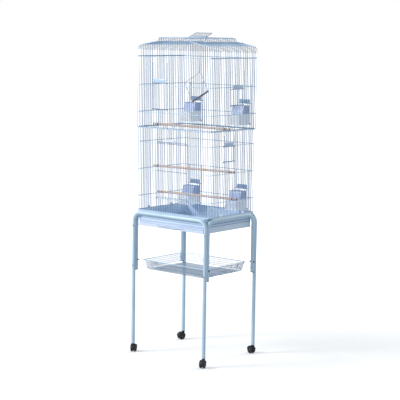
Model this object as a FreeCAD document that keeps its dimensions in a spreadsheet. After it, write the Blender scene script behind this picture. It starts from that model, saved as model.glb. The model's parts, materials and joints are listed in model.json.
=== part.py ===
import FreeCAD, Part
import math
import os
import Sketcher
from FreeCAD import Placement, Rotation, Vector

# Bird cage on a wheeled stand: a two-section wire cage with a shouldered roof, standing in a
# plastic tub with a pull-out tray, on a tubular stand with a wire basket and four casters.
# Frame: millimetres, +Z up, +X to the right of the tray's front, +Y to the back.
# Origin: on the floor, under the middle of the cage.

doc = FreeCAD.newDocument("BirdCage")
sheet = doc.addObject("Spreadsheet::Sheet", "Sizes")

DRIVING_SIZES = {
    # cage
    "cage_width": 475.0,
    "cage_depth": 360.0,
    "lower_height": 431.0,
    "upper_height": 366.0,
    "roof_rise": 98.0,
    "section_step": 5.0,
    "section_lap": 6.0,
    "wire_diameter": 2.0,
    "bar_size": 3.0,
    "ring_size": 4.0,
    "weld_depth": 0.4,
    "front_gaps": 40,
    "side_gaps": 30,
    "lower_band_1": 73.0,
    "lower_band_2": 214.0,
    "lower_band_3": 356.0,
    "upper_band_1": 81.0,
    "upper_band_2": 220.0,
    # roof outline, measured from the middle and from the eaves
    "shoulder_rise": 31.0,
    "shoulder_inset": 33.0,
    "shoulder_top": 61.0,
    "slope_half": 150.0,
    "slope_rise": 72.0,
    "step_half": 107.0,
    "step_rise": 79.0,
    "ridge_half": 97.0,
    # doors
    "door_standoff": 8.0,
    "guide_diameter": 2.5,
    "eye_clearance": 0.1,
    "eye_wall": 1.8,
    "eye_length": 4.0,
    "tab_height": 20.0,
    "tab_thickness": 1.5,
    "guide_overrun": 6.0,
    "main_door_gaps": 9,
    "main_door_inset": 5.0,
    "main_door_overlap": 8.0,
    "hinge_to_bar": 5.0,
    "door_clip_width": 58.0,
    "door_clip_height": 14.0,
    "door_clip_thickness": 5.0,
    "door_clip_offset": 6.0,
    "front_door_low": 99.0,
    "front_door_height": 132.0,
    "front_door_travel": 95.0,
    "lower_side_door_height": 75.0,
    "lower_side_door_drop": 3.0,
    "lower_side_door_travel": 46.0,
    "upper_side_door_low": 129.0,
    "upper_side_door_height": 80.0,
    "upper_side_door_travel": 80.0,
    "hatch_width": 112.0,
    "hatch_length": 52.0,
    "hatch_rest_angle": 22.5,
    "hatch_hinge_y": 5.0,
    "hatch_hinge_rise": 5.0,
    "hatch_pin": 2.5,
    "hatch_frame_gaps": 5.5,
    "ridge_bar_margin": 6.0625,
    "ridge_bar_inset": 1.0,
    # feeders
    "feeder_width": 76.0,
    "feeder_depth": 84.0,
    "feeder_height": 100.0,
    "feeder_wall": 1.6,
    "hood_depth": 46.0,
    "feeder_mouth": 50.0,
    "hood_lip": 57.0,
    "feeder_corner": 7.0,
    "feeder_hang": 4.0,
    "lower_feeder_sill": 10.0,
    "upper_feeder_sill": 24.0,
    "feeder_door_spare": 4.0,
    "feeder_door_travel": 90.0,
    "hook_spacing": 44.0,
    "hook_width": 6.0,
    "hook_drop": 6.0,
    "wall_gap": 0.3,
    # perches and swing
    "perch_diameter": 12.0,
    "tenon_diameter": 8.0,
    "tenon_reach": 16.0,
    "perch_cap_length": 4.0,
    "perch_end_gap": 1.2,
    "swing_perch_diameter": 10.0,
    "swing_width": 120.0,
    "swing_leg": 110.0,
    "swing_tilt": 29.5,
    "swing_offset": 23.0,
    "swing_height": 595.0,
    "swing_wire": 2.5,
    "swing_ring_diameter": 6.8,
    "swing_ring_bore": 3.4,
    "swing_ring_thickness": 3.2,
    "swing_corner": 0.8,
    # clips
    "clip_width": 8.0,
    "clip_sheet": 1.5,
    "clip_rise": 3.0,
    "clip_overlap": 1.0,
    "base_clip_height": 9.0,
    "base_clip_depth": 4.0,
    # tub and tray
    "tub_height": 81.0,
    "flange_thickness": 3.0,
    "flange_reach": 8.0,
    "tub_half_gap": 11.5,
    "tub_front_reach": 10.0,
    "flange_front_reach": 2.0,
    "tub_wall": 2.5,
    "tub_corner": 14.0,
    "tray_height": 26.0,
    "tray_wall": 2.0,
    "tray_inset": 14.0,
    "tray_front_thickness": 3.0,
    "tray_front_overhang": 5.0,
    "tray_front_rise": 1.5,
    "tray_back_gap": 3.0,
    "slide_gap": 0.3,
    "grip_width": 184.0,
    "grip_height": 12.0,
    "slot_spare": 1.0,
    "tub_foot": 16.0,
    "tub_foot_inset": 40.0,
    "tub_foot_height": 2.5,
    # stand
    "stand_height": 757.0,
    "tube_diameter": 19.0,
    "tube_wall": 1.2,
    "bend_radius": 45.0,
    "leg_margin_x": 9.0,
    "leg_margin_y": 48.0,
    "tube_pair_gap": 0.4,
    "leg_joint_height": 450.0,
    "side_leg_end": 444.0,
    "spigot_length": 35.0,
    "fit_clearance": 0.1,
    "bolt_diameter": 5.0,
    "bolt_head": 9.0,
    "bolt_head_height": 3.0,
    "nut_width": 8.0,
    "nut_height": 4.0,
    "upper_bolt_drop": 79.0,
    "lower_bolt_height": 467.0,
    "cap_thickness": 4.0,
    "plug_length": 12.0,
    "drill_spare": 1.0,
    # basket
    "basket_gap_x": 27.0,
    "basket_gap_y": 35.0,
    "basket_height": 52.0,
    "basket_taper": 12.0,
    "basket_rim_height": 494.0,
    "basket_pitch": 14.0,
    "screw_diameter": 4.0,
    "screw_height": 495.0,
    "screw_reach": 8.0,
    "basket_eye": 9.0,
    "basket_eye_thickness": 2.5,
    "basket_eye_gap": 5.5,
    "basket_hook_wire": 2.5,
    # casters
    "caster_height": 48.0,
    "wheel_radius": 19.5,
    "wheel_width": 10.0,
    "wheel_bore": 5.2,
    "axle_diameter": 5.0,
    "web_thickness": 6.0,
    "side_gap": 0.5,
    "hood_radius": 22.0,
    "hood_thickness": 1.8,
    "hood_skirt": 3.0,
    "web_drop": 8.0,
    "boss_rise": 12.0,
    "wheel_round": 2.0,
    "dish_depth": 2.0,
    "dish_diameter": 25.4,
    "hub_diameter": 11.0,
    "trail": 12.0,
    "stem_diameter": 8.0,
    "stem_length": 26.0,
    "socket_length": 30.0,
    "socket_flange": 2.0,
}


class Size:
    """A length known both as a number and as the sheet expression that drives it."""

    def __init__(self, value, text):
        self.value = float(value)
        self.text = text

    def __float__(self):
        return self.value

    def __add__(self, other):
        other = as_size(other)
        return Size(self.value + other.value, f"({self.text} + {other.text})")

    def __radd__(self, other):
        return as_size(other) + self

    def __sub__(self, other):
        other = as_size(other)
        return Size(self.value - other.value, f"({self.text} - {other.text})")

    def __rsub__(self, other):
        return as_size(other) - self

    def __mul__(self, other):
        other = as_size(other)
        return Size(self.value * other.value, f"({self.text} * {other.text})")

    def __rmul__(self, other):
        return as_size(other) * self

    def __truediv__(self, other):
        other = as_size(other)
        return Size(self.value / other.value, f"({self.text} / {other.text})")

    def __neg__(self):
        return Size(-self.value, f"(0 - {self.text})")


def as_size(thing):
    if isinstance(thing, Size):
        return thing
    return Size(thing, f"({float(thing)})")


class SheetSizes:
    """The sheet's aliases as Size attributes."""


sizes = SheetSizes()
for row, (alias, number) in enumerate(DRIVING_SIZES.items(), start=1):
    sheet.set(f"A{row}", alias)
    sheet.set(f"B{row}", str(number))
    sheet.setAlias(f"B{row}", alias)
    setattr(sizes, alias, Size(number, f"Sizes.{alias}"))
doc.recompute()

# Levels and half sizes that several pieces share
tub_top = sizes.stand_height + sizes.flange_thickness
joint_level = tub_top + sizes.lower_height
eave_level = joint_level + sizes.upper_height
ridge_level = eave_level + sizes.roof_rise
lower_half_x = sizes.cage_width / 2
lower_half_y = sizes.cage_depth / 2
upper_half_x = lower_half_x + sizes.section_step
upper_half_y = lower_half_y + sizes.section_step
wire_radius = sizes.wire_diameter / 2
bar_inner = wire_radius - sizes.weld_depth
bar_outer = bar_inner + sizes.bar_size
tube_radius = sizes.tube_diameter / 2
tube_bore = sizes.tube_diameter - 2 * sizes.tube_wall
rail_level = sizes.stand_height - tube_radius
leg_x = (sizes.cage_width + sizes.leg_margin_x) / 2
leg_y = (sizes.cage_depth + sizes.leg_margin_y) / 2
side_leg_y = leg_y - sizes.tube_diameter - sizes.tube_pair_gap
CORNERS = {
    "front_left": (-1, -1),
    "front_right": (1, -1),
    "back_left": (-1, 1),
    "back_right": (1, 1),
}
finished = {}


# ---------------------------------------------------------------- tools: objects and features

def bind(thing, **properties):
    """Drive each property of an object from the sheet."""
    for name, size in properties.items():
        thing.setExpression(name.replace("__", "."), as_size(size).text)


def place(thing, x=0, y=0, z=0):
    bind(thing, Placement__Base__x=x, Placement__Base__y=y, Placement__Base__z=z)
    return thing


def finish(label, thing):
    """Name a finished sub-part; the label is also its file name."""
    thing.Label = label
    finished[label] = thing
    return thing


def box(length, width, height, x, y, z):
    """A block with its low corner at x, y, z."""
    block = doc.addObject("Part::Box", "Block")
    bind(block, Length=length, Width=width, Height=height)
    return place(block, x, y, z)


TURNS = {
    "x": Rotation(Vector(0, 1, 0), 90),
    "y": Rotation(Vector(1, 0, 0), -90),
    "z": Rotation(),
}


def cylinder(diameter, length, x, y, z, axis="z"):
    """A cylinder that starts at x, y, z and runs along +axis."""
    rod = doc.addObject("Part::Cylinder", "Rod")
    bind(rod, Radius=as_size(diameter) / 2, Height=length)
    rod.Placement = Placement(Vector(), TURNS[axis])
    return place(rod, x, y, z)


def fuse(pieces, name="Fusion"):
    joined = doc.addObject("Part::MultiFuse", name)
    joined.Shapes = pieces
    return joined


def cut(base, tools, name="Cut"):
    """The base with every tool taken away."""
    tool = tools[0]
    if len(tools) > 1:
        tool = fuse(tools, "Tools")
    result = doc.addObject("Part::Cut", name)
    result.Base = base
    result.Tool = tool
    return result


def round_edges(base, radius, wanted):
    """Round the edges of base for which wanted(edge) is true."""
    doc.recompute()
    rounded = doc.addObject("Part::Fillet", "Rounded")
    rounded.Base = base
    numbers = [i for i, edge in enumerate(base.Shape.Edges, start=1) if wanted(edge)]
    rounded.Edges = [(i, float(radius), float(radius)) for i in numbers]
    return rounded


def is_vertical(edge):
    ends = edge.BoundBox
    return ends.ZLength > 1 and ends.XLength < 1e-6 and ends.YLength < 1e-6


def origin_plane(body, role):
    for feature in body.Origin.OriginFeatures:
        if feature.Role == role:
            return feature
    raise ValueError(role)


def new_sketch(body, role, name):
    drawing = body.newObject("Sketcher::SketchObject", name)
    drawing.AttachmentSupport = [(origin_plane(body, role), "")]
    drawing.MapMode = "FlatFace"
    return drawing


def draw_circle(drawing, diameter, x=0, y=0):
    """A circle whose diameter and centre come from the sheet."""
    centre = Vector(float(x), float(y), 0)
    index = drawing.addGeometry(Part.Circle(centre, Vector(0, 0, 1), float(diameter) / 2), False)
    dimension = drawing.addConstraint(Sketcher.Constraint("Diameter", index, float(diameter)))
    drawing.setExpression(f"Constraints[{dimension}]", as_size(diameter).text)
    fix_point(drawing, index, 3, x, y)


def fix_point(drawing, index, end, x, y):
    """Hold one point of a sketch at x, y, both driven from the sheet."""
    for kind, size in (("DistanceX", x), ("DistanceY", y)):
        size = as_size(size)
        held = Sketcher.Constraint(kind, -1, 1, index, end, size.value)
        dimension = drawing.addConstraint(held)
        drawing.setExpression(f"Constraints[{dimension}]", size.text)


def draw_polygon(drawing, points):
    """A closed outline of straight lines, with every corner driven from the sheet."""
    corners = [Vector(float(x), float(y), 0) for x, y in points]
    count = len(points)
    lines = []
    for i in range(count):
        line = Part.LineSegment(corners[i], corners[(i + 1) % count])
        lines.append(drawing.addGeometry(line, False))
    for i in range(count):
        follows = lines[(i + 1) % count]
        drawing.addConstraint(Sketcher.Constraint("Coincident", lines[i], 2, follows, 1))
    for line, (x, y) in zip(lines, points):
        fix_point(drawing, line, 1, x, y)


def turned_body(label, points):
    """A piece turned about its Z axis from a half section given as (radius, height) points."""
    body = doc.addObject("PartDesign::Body", label + "_body")
    section = new_sketch(body, "XZ_Plane", "Section")
    draw_polygon(section, points)
    turned = body.newObject("PartDesign::Revolution", "Turned")
    turned.Profile = section
    turned.ReferenceAxis = (section, ["V_Axis"])
    turned.Angle = 360.0
    return body


def hoop_frame(label, role, half_span, foot_level):
    """One bent tube: two legs and a top rail."""
    body = doc.addObject("PartDesign::Body", label + "_body")
    radius = sizes.bend_radius
    path = new_sketch(body, role, "CentreLine")
    left = float(half_span)
    low = float(foot_level)
    top = float(rail_level)
    bend = float(radius)
    leg_1 = path.addGeometry(Part.LineSegment(Vector(-left, low, 0), Vector(-left, top - bend, 0)))
    arc_1 = path.addGeometry(quarter_arc(-left + bend, top - bend, bend, 90, 180))
    rail = path.addGeometry(Part.LineSegment(Vector(bend - left, top, 0), Vector(left - bend, top, 0)))
    arc_2 = path.addGeometry(quarter_arc(left - bend, top - bend, bend, 0, 90))
    leg_2 = path.addGeometry(Part.LineSegment(Vector(left, top - bend, 0), Vector(left, low, 0)))
    for first, end, second, start in ((leg_1, 2, arc_1, 2), (arc_1, 1, rail, 1),
                                      (rail, 2, arc_2, 2), (arc_2, 1, leg_2, 1)):
        path.addConstraint(Sketcher.Constraint("Tangent", first, end, second, start))
    path.addConstraint(Sketcher.Constraint("Vertical", leg_1))
    path.addConstraint(Sketcher.Constraint("Horizontal", rail))
    path.addConstraint(Sketcher.Constraint("Equal", arc_1, arc_2))
    held = path.addConstraint(Sketcher.Constraint("Radius", arc_1, bend))
    path.setExpression(f"Constraints[{held}]", radius.text)
    fix_point(path, leg_1, 1, -half_span, foot_level)
    fix_point(path, leg_2, 2, half_span, foot_level)
    level = path.addConstraint(Sketcher.Constraint("DistanceY", -1, 1, rail, 1, top))
    path.setExpression(f"Constraints[{level}]", rail_level.text)

    ring = new_sketch(body, "XY_Plane", "TubeSection")
    bind(ring, AttachmentOffset__Base__z=foot_level)
    across = role == "XZ_Plane"
    x = -half_span if across else 0
    y = 0 if across else -half_span
    draw_circle(ring, sizes.tube_diameter, x, y)
    draw_circle(ring, tube_bore, x, y)
    doc.recompute()
    tube = body.newObject("PartDesign::AdditivePipe", "Tube")
    tube.Profile = ring
    tube.Spine = path
    doc.recompute()
    return body


def quarter_arc(x, y, radius, start, stop):
    circle = Part.Circle(Vector(x, y, 0), Vector(0, 0, 1), radius)
    return Part.ArcOfCircle(circle, math.radians(start), math.radians(stop))


def rod_between(start, end, diameter):
    """A straight round wire between two points."""
    run = end - start
    return Part.makeCylinder(float(diameter) / 2, run.Length, start, run)


def block_shape(low, high):
    """A solid block between two opposite corners."""
    span = high - low
    return Part.makeBox(span.x, span.y, span.z, low)


def wirework(label, rods):
    """One welded piece of wirework: crossing rods and bars joined into a single solid."""
    solid = rods[0].multiFuse(rods[1:])
    piece = doc.addObject("Part::Feature", label + "_wire")
    piece.Shape = solid.Solids[0] if len(solid.Solids) == 1 else solid
    piece.Placement = Placement()
    return finish(label, piece)


# ---------------------------------------------------------------- stand

def build_stand():
    bolt_hole = sizes.bolt_diameter
    bolt_levels = (sizes.stand_height - sizes.upper_bolt_drop, sizes.lower_bolt_height)
    reach = sizes.tube_diameter + 2 * sizes.drill_spare
    for name, role, side in (("front", "XZ_Plane", -1), ("back", "XZ_Plane", 1),
                             ("left", "YZ_Plane", -1), ("right", "YZ_Plane", 1)):
        across = name in ("front", "back")
        half_span = leg_x if across else side_leg_y
        foot = sizes.leg_joint_height if across else sizes.side_leg_end
        hoop = hoop_frame(f"stand_{name}_frame", role, half_span, foot)
        if across:
            place(hoop, 0, side * leg_y, 0)
        else:
            place(hoop, side * leg_x, 0, 0)
        holes = []
        for end in (-1, 1):
            for level in bolt_levels:
                hole_x = end * leg_x if across else side * leg_x
                hole_y = (side * leg_y if across else end * side_leg_y) - reach / 2
                holes.append(cylinder(bolt_hole, reach, hole_x, hole_y, level, "y"))
            if not across:
                low_x = side * leg_x - reach / 2
                at_y = end * side_leg_y
                holes.append(cylinder(sizes.screw_diameter, reach, low_x, at_y, sizes.screw_height, "x"))
        finish(f"stand_{name}_frame", cut(hoop, holes))

    spigot_radius = tube_bore / 2 - sizes.fit_clearance
    inner_radius = spigot_radius - sizes.tube_wall
    top = sizes.leg_joint_height
    for name, (sx, sy) in CORNERS.items():
        leg = turned_body(f"lower_leg_{name}", [
            (tube_bore / 2, sizes.caster_height),
            (tube_radius, sizes.caster_height),
            (tube_radius, top),
            (spigot_radius, top),
            (spigot_radius, top + sizes.spigot_length),
            (inner_radius, top + sizes.spigot_length),
            (inner_radius, top - sizes.spigot_length),
            (tube_bore / 2, top - sizes.spigot_length),
        ])
        place(leg, sx * leg_x, sy * leg_y, 0)
        hole = cylinder(bolt_hole, reach, sx * leg_x, sy * leg_y - reach / 2,
                        sizes.lower_bolt_height, "y")
        finish(f"lower_leg_{name}", cut(leg, [hole]))


def build_stand_fasteners():
    caps = []
    bolts = []
    nuts = []
    screws = []
    sockets = []
    plug = tube_bore - 2 * sizes.fit_clearance
    inner_face = side_leg_y - tube_radius
    outer_face = leg_y + tube_radius
    shank = outer_face - inner_face + sizes.nut_height - sizes.drill_spare
    for name, (sx, sy) in CORNERS.items():
        cap_low = sizes.side_leg_end - sizes.cap_thickness
        caps.append(fuse([
            cylinder(sizes.tube_diameter, sizes.cap_thickness, sx * leg_x, sy * side_leg_y, cap_low),
            cylinder(plug, sizes.cap_thickness + sizes.plug_length, sx * leg_x, sy * side_leg_y, cap_low),
        ]))
        for level in (sizes.stand_height - sizes.upper_bolt_drop, sizes.lower_bolt_height):
            head_y = outer_face if sy > 0 else -outer_face - sizes.bolt_head_height
            shank_y = outer_face - shank if sy > 0 else -outer_face
            bolts.append(fuse([
                cylinder(sizes.bolt_head, sizes.bolt_head_height, sx * leg_x, head_y, level, "y"),
                cylinder(sizes.bolt_diameter, shank, sx * leg_x, shank_y, level, "y"),
            ]))
            nut_y = inner_face - sizes.nut_height if sy > 0 else -inner_face
            blank = doc.addObject("Part::Prism", "NutBlank")
            blank.Polygon = 6
            bind(blank, Circumradius=sizes.nut_width / 2, Height=sizes.nut_height)
            blank.Placement = Placement(Vector(), TURNS["y"])
            place(blank, sx * leg_x, nut_y, level)
            bore = cylinder(sizes.bolt_diameter, sizes.nut_height + 2 * sizes.drill_spare, sx * leg_x,
                            nut_y - sizes.drill_spare, level, "y")
            nuts.append(cut(blank, [bore]))
        outer_x = leg_x + tube_radius
        inner_x = leg_x - tube_radius - sizes.screw_reach
        head_x = outer_x if sx > 0 else -outer_x - sizes.bolt_head_height
        shank_x = inner_x if sx > 0 else -outer_x
        screws.append(fuse([
            cylinder(sizes.bolt_head, sizes.bolt_head_height, head_x, sy * side_leg_y,
                     sizes.screw_height, "x"),
            cylinder(sizes.screw_diameter, outer_x - inner_x, shank_x, sy * side_leg_y,
                     sizes.screw_height, "x"),
        ]))
        flange_low = sizes.caster_height - sizes.socket_flange
        socket = fuse([
            cylinder(sizes.tube_diameter, sizes.socket_flange, sx * leg_x, sy * leg_y, flange_low),
            cylinder(plug, sizes.socket_length, sx * leg_x, sy * leg_y, flange_low),
        ])
        stem_bore = cylinder(sizes.stem_diameter + 2 * sizes.fit_clearance,
                             sizes.socket_length + 2 * sizes.drill_spare,
                             sx * leg_x, sy * leg_y, flange_low - sizes.drill_spare)
        sockets.append(cut(socket, [stem_bore]))
    for label, pieces in (("frame_end_caps", caps), ("frame_bolts", bolts), ("frame_nuts", nuts),
                          ("basket_screws", screws), ("caster_sockets", sockets)):
        group = doc.addObject("Part::Compound", label + "_group")
        group.Links = pieces
        finish(label, group)


# ---------------------------------------------------------------- casters

def build_casters():
    """Twin-wheel casters; each is drawn about its own stem and turned to where it points."""
    headings = {"front_left": 25, "front_right": 200, "back_left": 160, "back_right": 75}
    axle_level = sizes.wheel_radius
    half_web = sizes.web_thickness / 2
    wheel_start = half_web + sizes.side_gap
    half_width = wheel_start + sizes.wheel_width
    spare = sizes.drill_spare
    rim_length = 2 * math.pi * sizes.wheel_radius.value
    for name, (sx, sy) in CORNERS.items():
        turn = Rotation(Vector(0, 0, 1), headings[name])
        stand_point = (sx * leg_x, sy * leg_y, 0)
        trail = sizes.trail
        clear_length = 3 * sizes.hood_radius
        front = trail - clear_length / 2
        shell = cut(
            cylinder(2 * sizes.hood_radius, 2 * half_width, -half_width, trail, axle_level, "x"),
            [
                cylinder(2 * (sizes.hood_radius - sizes.hood_thickness), 2 * half_width + 2 * spare,
                         -half_width - spare, trail, axle_level, "x"),
                box(2 * half_width + 2 * spare, clear_length, 2 * sizes.hood_radius,
                    -half_width - spare, front, axle_level + sizes.hood_skirt - 2 * sizes.hood_radius),
            ])
        web_radius = sizes.hood_radius - sizes.hood_thickness / 3
        web = cut(
            cylinder(2 * web_radius, sizes.web_thickness, -half_web, trail, axle_level, "x"),
            [box(sizes.web_thickness + 2 * spare, clear_length, sizes.hood_radius,
                 -half_web - spare, front, axle_level - sizes.web_drop - sizes.hood_radius)])
        boss_top = sizes.caster_height - sizes.socket_flange - sizes.slide_gap
        boss_low = axle_level + sizes.boss_rise
        boss = cut(
            cylinder(2 * sizes.stem_diameter, boss_top - boss_low, 0, 0, boss_low),
            [cylinder(2 * sizes.hood_radius - 2 * sizes.hood_thickness, 2 * half_width, -half_width,
                      trail, axle_level, "x")])
        stem_low = boss_top - sizes.boss_rise / 4
        stem = cylinder(sizes.stem_diameter, boss_top + sizes.stem_length - stem_low, 0, 0, stem_low)
        bore = cylinder(sizes.axle_diameter, sizes.web_thickness + 2 * spare, -half_web - spare, trail,
                        axle_level, "x")
        fork = cut(fuse([shell, web, boss, stem]), [bore])
        axle = cylinder(sizes.axle_diameter, 2 * half_width - spare, spare / 2 - half_width, trail,
                        axle_level, "x")
        wheels = []
        for side in (-1, 1):
            start = wheel_start if side > 0 else -half_width
            tread = cylinder(2 * sizes.wheel_radius, sizes.wheel_width, start, trail, axle_level, "x")
            tread = round_edges(tread, sizes.wheel_round,
                                lambda edge: abs(edge.Length - rim_length) < 1)
            outer = start + sizes.wheel_width - sizes.dish_depth if side > 0 else start - spare
            dish = cut(
                cylinder(sizes.dish_diameter, sizes.dish_depth + spare, outer, trail, axle_level, "x"),
                [cylinder(sizes.hub_diameter, sizes.dish_depth + 3 * spare, outer - spare, trail,
                          axle_level, "x")])
            hole = cylinder(sizes.wheel_bore, sizes.wheel_width + 2 * spare, start - spare, trail,
                            axle_level, "x")
            wheels.append(cut(tread, [hole, dish]))
        pair = doc.addObject("Part::Compound", "WheelPair")
        pair.Links = wheels
        for label, piece in ((f"caster_fork_{name}", fork), (f"caster_axle_{name}", axle),
                             (f"caster_wheels_{name}", pair)):
            group = doc.addObject("Part::Compound", label + "_turned")
            group.Links = [piece]
            group.Placement = Placement(Vector(), turn)
            place(group, *stand_point)
            finish(label, group)


# ---------------------------------------------------------------- basket

# The bars under the basket floor, as shares of half its depth.
BASKET_BAR_SHARES = (-0.5, 0, 0.5)


def build_basket():
    """A tapered wire basket, hung by its corner eyes on the screws in the side frames."""
    rim_half = Vector((leg_x - sizes.basket_gap_x).value, (leg_y - sizes.basket_gap_y).value, 0)
    taper = sizes.basket_taper.value
    floor_half = Vector(rim_half.x - taper, rim_half.y - taper, 0)
    rim_level = sizes.basket_rim_height.value
    floor_level = rim_level - sizes.basket_height.value
    rim = sizes.ring_size.value
    bar = sizes.bar_size.value
    wire = sizes.wire_diameter.value
    rods = []
    for half, level, thick in ((rim_half, rim_level, rim), (floor_half, floor_level, bar)):
        grow = thick / 2
        for side in (-1, 1):
            rods.append(block_shape(Vector(-half.x - grow, side * half.y - grow, level - grow),
                                    Vector(half.x + grow, side * half.y + grow, level + grow)))
            rods.append(block_shape(Vector(side * half.x - grow, -half.y - grow, level - grow),
                                    Vector(side * half.x + grow, half.y + grow, level + grow)))
    across = round(2 * floor_half.x / sizes.basket_pitch.value)
    along = round(2 * floor_half.y / sizes.basket_pitch.value)
    for i in range(1, across):
        share = 2 * i / across - 1
        low_x = share * floor_half.x
        for side in (-1, 1):
            rods.append(rod_between(Vector(low_x, side * floor_half.y, floor_level),
                                    Vector(share * rim_half.x, side * rim_half.y, rim_level), wire))
        rods.append(rod_between(Vector(low_x, -floor_half.y, floor_level),
                                Vector(low_x, floor_half.y, floor_level), wire))
    for i in range(1, along):
        share = 2 * i / along - 1
        for side in (-1, 1):
            rods.append(rod_between(Vector(side * floor_half.x, share * floor_half.y, floor_level),
                                    Vector(side * rim_half.x, share * rim_half.y, rim_level), wire))
    for share in BASKET_BAR_SHARES:
        y = share * floor_half.y
        drop = wire / 2 - sizes.weld_depth.value
        rods.append(block_shape(Vector(-floor_half.x, y - bar / 2, floor_level - drop - bar),
                                Vector(floor_half.x, y + bar / 2, floor_level - drop)))
    eye_outer = sizes.basket_eye.value
    eye_thick = sizes.basket_eye_thickness.value
    eye_x = leg_x.value - tube_radius.value - sizes.basket_eye_gap.value
    for sx, sy in CORNERS.values():
        centre = Vector(sx * eye_x, sy * side_leg_y.value, sizes.screw_height.value)
        start = centre - Vector(eye_thick / 2, 0, 0)
        ring = Part.makeCylinder(eye_outer / 2, eye_thick, start, Vector(1, 0, 0))
        bore = Part.makeCylinder(sizes.screw_diameter.value / 2 + sizes.eye_clearance.value,
                                 eye_thick, start, Vector(1, 0, 0))
        rods.append(ring.cut(bore))
        corner = Vector(sx * rim_half.x, sy * rim_half.y, rim_level)
        toward = centre - Vector(0, sy * (eye_outer / 2 - 2 * sizes.weld_depth.value), 0)
        rods.append(rod_between(corner, toward, sizes.basket_hook_wire))
    wirework("basket", rods)


# ---------------------------------------------------------------- tub and tray

def build_tub():
    top = sizes.stand_height
    low = tub_top - sizes.tub_height
    half_x = lower_half_x - sizes.tub_half_gap
    half_y = lower_half_y + sizes.tub_front_reach
    wall = sizes.tub_wall
    shell = box(2 * half_x, 2 * half_y, sizes.tub_height, -half_x, -half_y, low)
    shell = round_edges(shell, sizes.tub_corner, is_vertical)
    flange_x = lower_half_x + sizes.flange_reach
    flange_y = half_y + sizes.flange_front_reach
    flange = box(2 * flange_x, 2 * flange_y, sizes.flange_thickness, -flange_x, -flange_y, top)
    flange = round_edges(flange, sizes.tub_corner, is_vertical)
    pieces = [shell, flange]
    foot = sizes.tub_foot
    for sx, sy in CORNERS.values():
        foot_x = sx * (half_x - sizes.tub_foot_inset) - foot / 2
        foot_y = sy * (half_y - sizes.tub_foot_inset) - foot / 2
        pieces.append(box(foot, foot, sizes.tub_foot_height + wall / 2, foot_x, foot_y,
                          low - sizes.tub_foot_height))
    inside = box(2 * (half_x - wall), 2 * (half_y - wall), sizes.tub_height,
                 wall - half_x, wall - half_y, low + wall)
    inside = round_edges(inside, sizes.tub_corner - wall, is_vertical)
    slot_half = half_x - sizes.tray_inset + sizes.slide_gap + sizes.slot_spare
    slot = box(2 * slot_half, 3 * wall, sizes.tray_height + 2 * sizes.slide_gap + sizes.slot_spare,
               -slot_half, -half_y - wall, low + wall)
    finish("base_tub", cut(fuse(pieces), [inside, slot]))

    tray_half_x = half_x - sizes.tray_inset
    tray_front = -half_y - sizes.slide_gap
    tray_length = 2 * half_y - wall - sizes.tray_back_gap + sizes.slide_gap
    tray_low = low + wall + sizes.slide_gap
    pan = box(2 * tray_half_x, tray_length, sizes.tray_height, -tray_half_x, tray_front, tray_low)
    front_half = tray_half_x + sizes.tray_front_overhang
    thick = sizes.tray_front_thickness
    front_low = tray_low - sizes.tray_front_rise
    front = box(2 * front_half, thick, sizes.tray_height + 2 * sizes.tray_front_rise, -front_half,
                tray_front - thick, front_low)
    inner = box(2 * (tray_half_x - sizes.tray_wall), tray_length - 2 * sizes.tray_wall,
                sizes.tray_height, sizes.tray_wall - tray_half_x, tray_front + sizes.tray_wall,
                tray_low + sizes.tray_wall)
    half_grip = sizes.grip_width / 2
    rise = sizes.grip_height
    grip_radius = (half_grip * half_grip + rise * rise) / (2 * rise)
    grip = cylinder(2 * grip_radius, thick + 2 * sizes.drill_spare, 0,
                    tray_front - thick - sizes.drill_spare, front_low + rise - grip_radius, "y")
    finish("pull_out_tray", fuse([cut(pan, [inner]), cut(front, [grip])]))


# ---------------------------------------------------------------- wire walls

# Doorways by the wires on their two sides, counted from the middle wire of the wall
FEEDER_WIRES = (10, 17)
FRONT_DOOR_WIRES = (-11, -3)
LOWER_SIDE_WIRES = (-6, 1)
UPPER_SIDE_WIRES = (-2, 6)
CLIP_ROUND = 1.5


class Wall:
    """One side of a section. u runs along the wall, n outward from its wires, z up."""

    def __init__(self, side, half_x, half_y):
        self.side = side
        self.across = side in ("front", "back")
        self.sign = -1 if side in ("front", "left") else 1
        along = half_x if self.across else half_y
        self.half = float(along)
        self.plane = float(half_y if self.across else half_x)
        gaps = sizes.front_gaps if self.across else sizes.side_gaps
        self.gaps = round(gaps.value)
        self.pitch = 2 * self.half / self.gaps

    def point(self, u, n, z):
        depth = self.sign * (self.plane + n)
        if self.across:
            return Vector(u, depth, z)
        return Vector(depth, u, z)

    def block(self, u, n, z):
        """A bar given by its three spans, each a (low, high) pair."""
        first = self.point(u[0], n[0], z[0])
        second = self.point(u[1], n[1], z[1])
        low = Vector(min(first.x, second.x), min(first.y, second.y), first.z)
        high = Vector(max(first.x, second.x), max(first.y, second.y), second.z)
        return block_shape(low, high)

    def rod(self, start, end, diameter):
        return rod_between(self.point(*start), self.point(*end), diameter)


class Doorway:
    """An opening between two wires of a wall, counted from its middle wire."""

    def __init__(self, wall, first_wire, last_wire, low, top):
        self.wall = wall
        self.first = first_wire
        self.last = last_wire
        self.left = first_wire * wall.pitch
        self.right = last_wire * wall.pitch
        self.low = float(low)
        self.top = float(top)

    def covers_wire(self, number):
        return self.first < number < self.last


def free_spans(low, high, gaps):
    """The stretches of low..high that are left outside the given gaps."""
    spans = []
    start = low
    for gap_low, gap_high in sorted(gaps):
        if gap_low > start:
            spans.append((start, gap_low))
        start = max(start, gap_high)
    if high > start:
        spans.append((start, high))
    return spans


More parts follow.
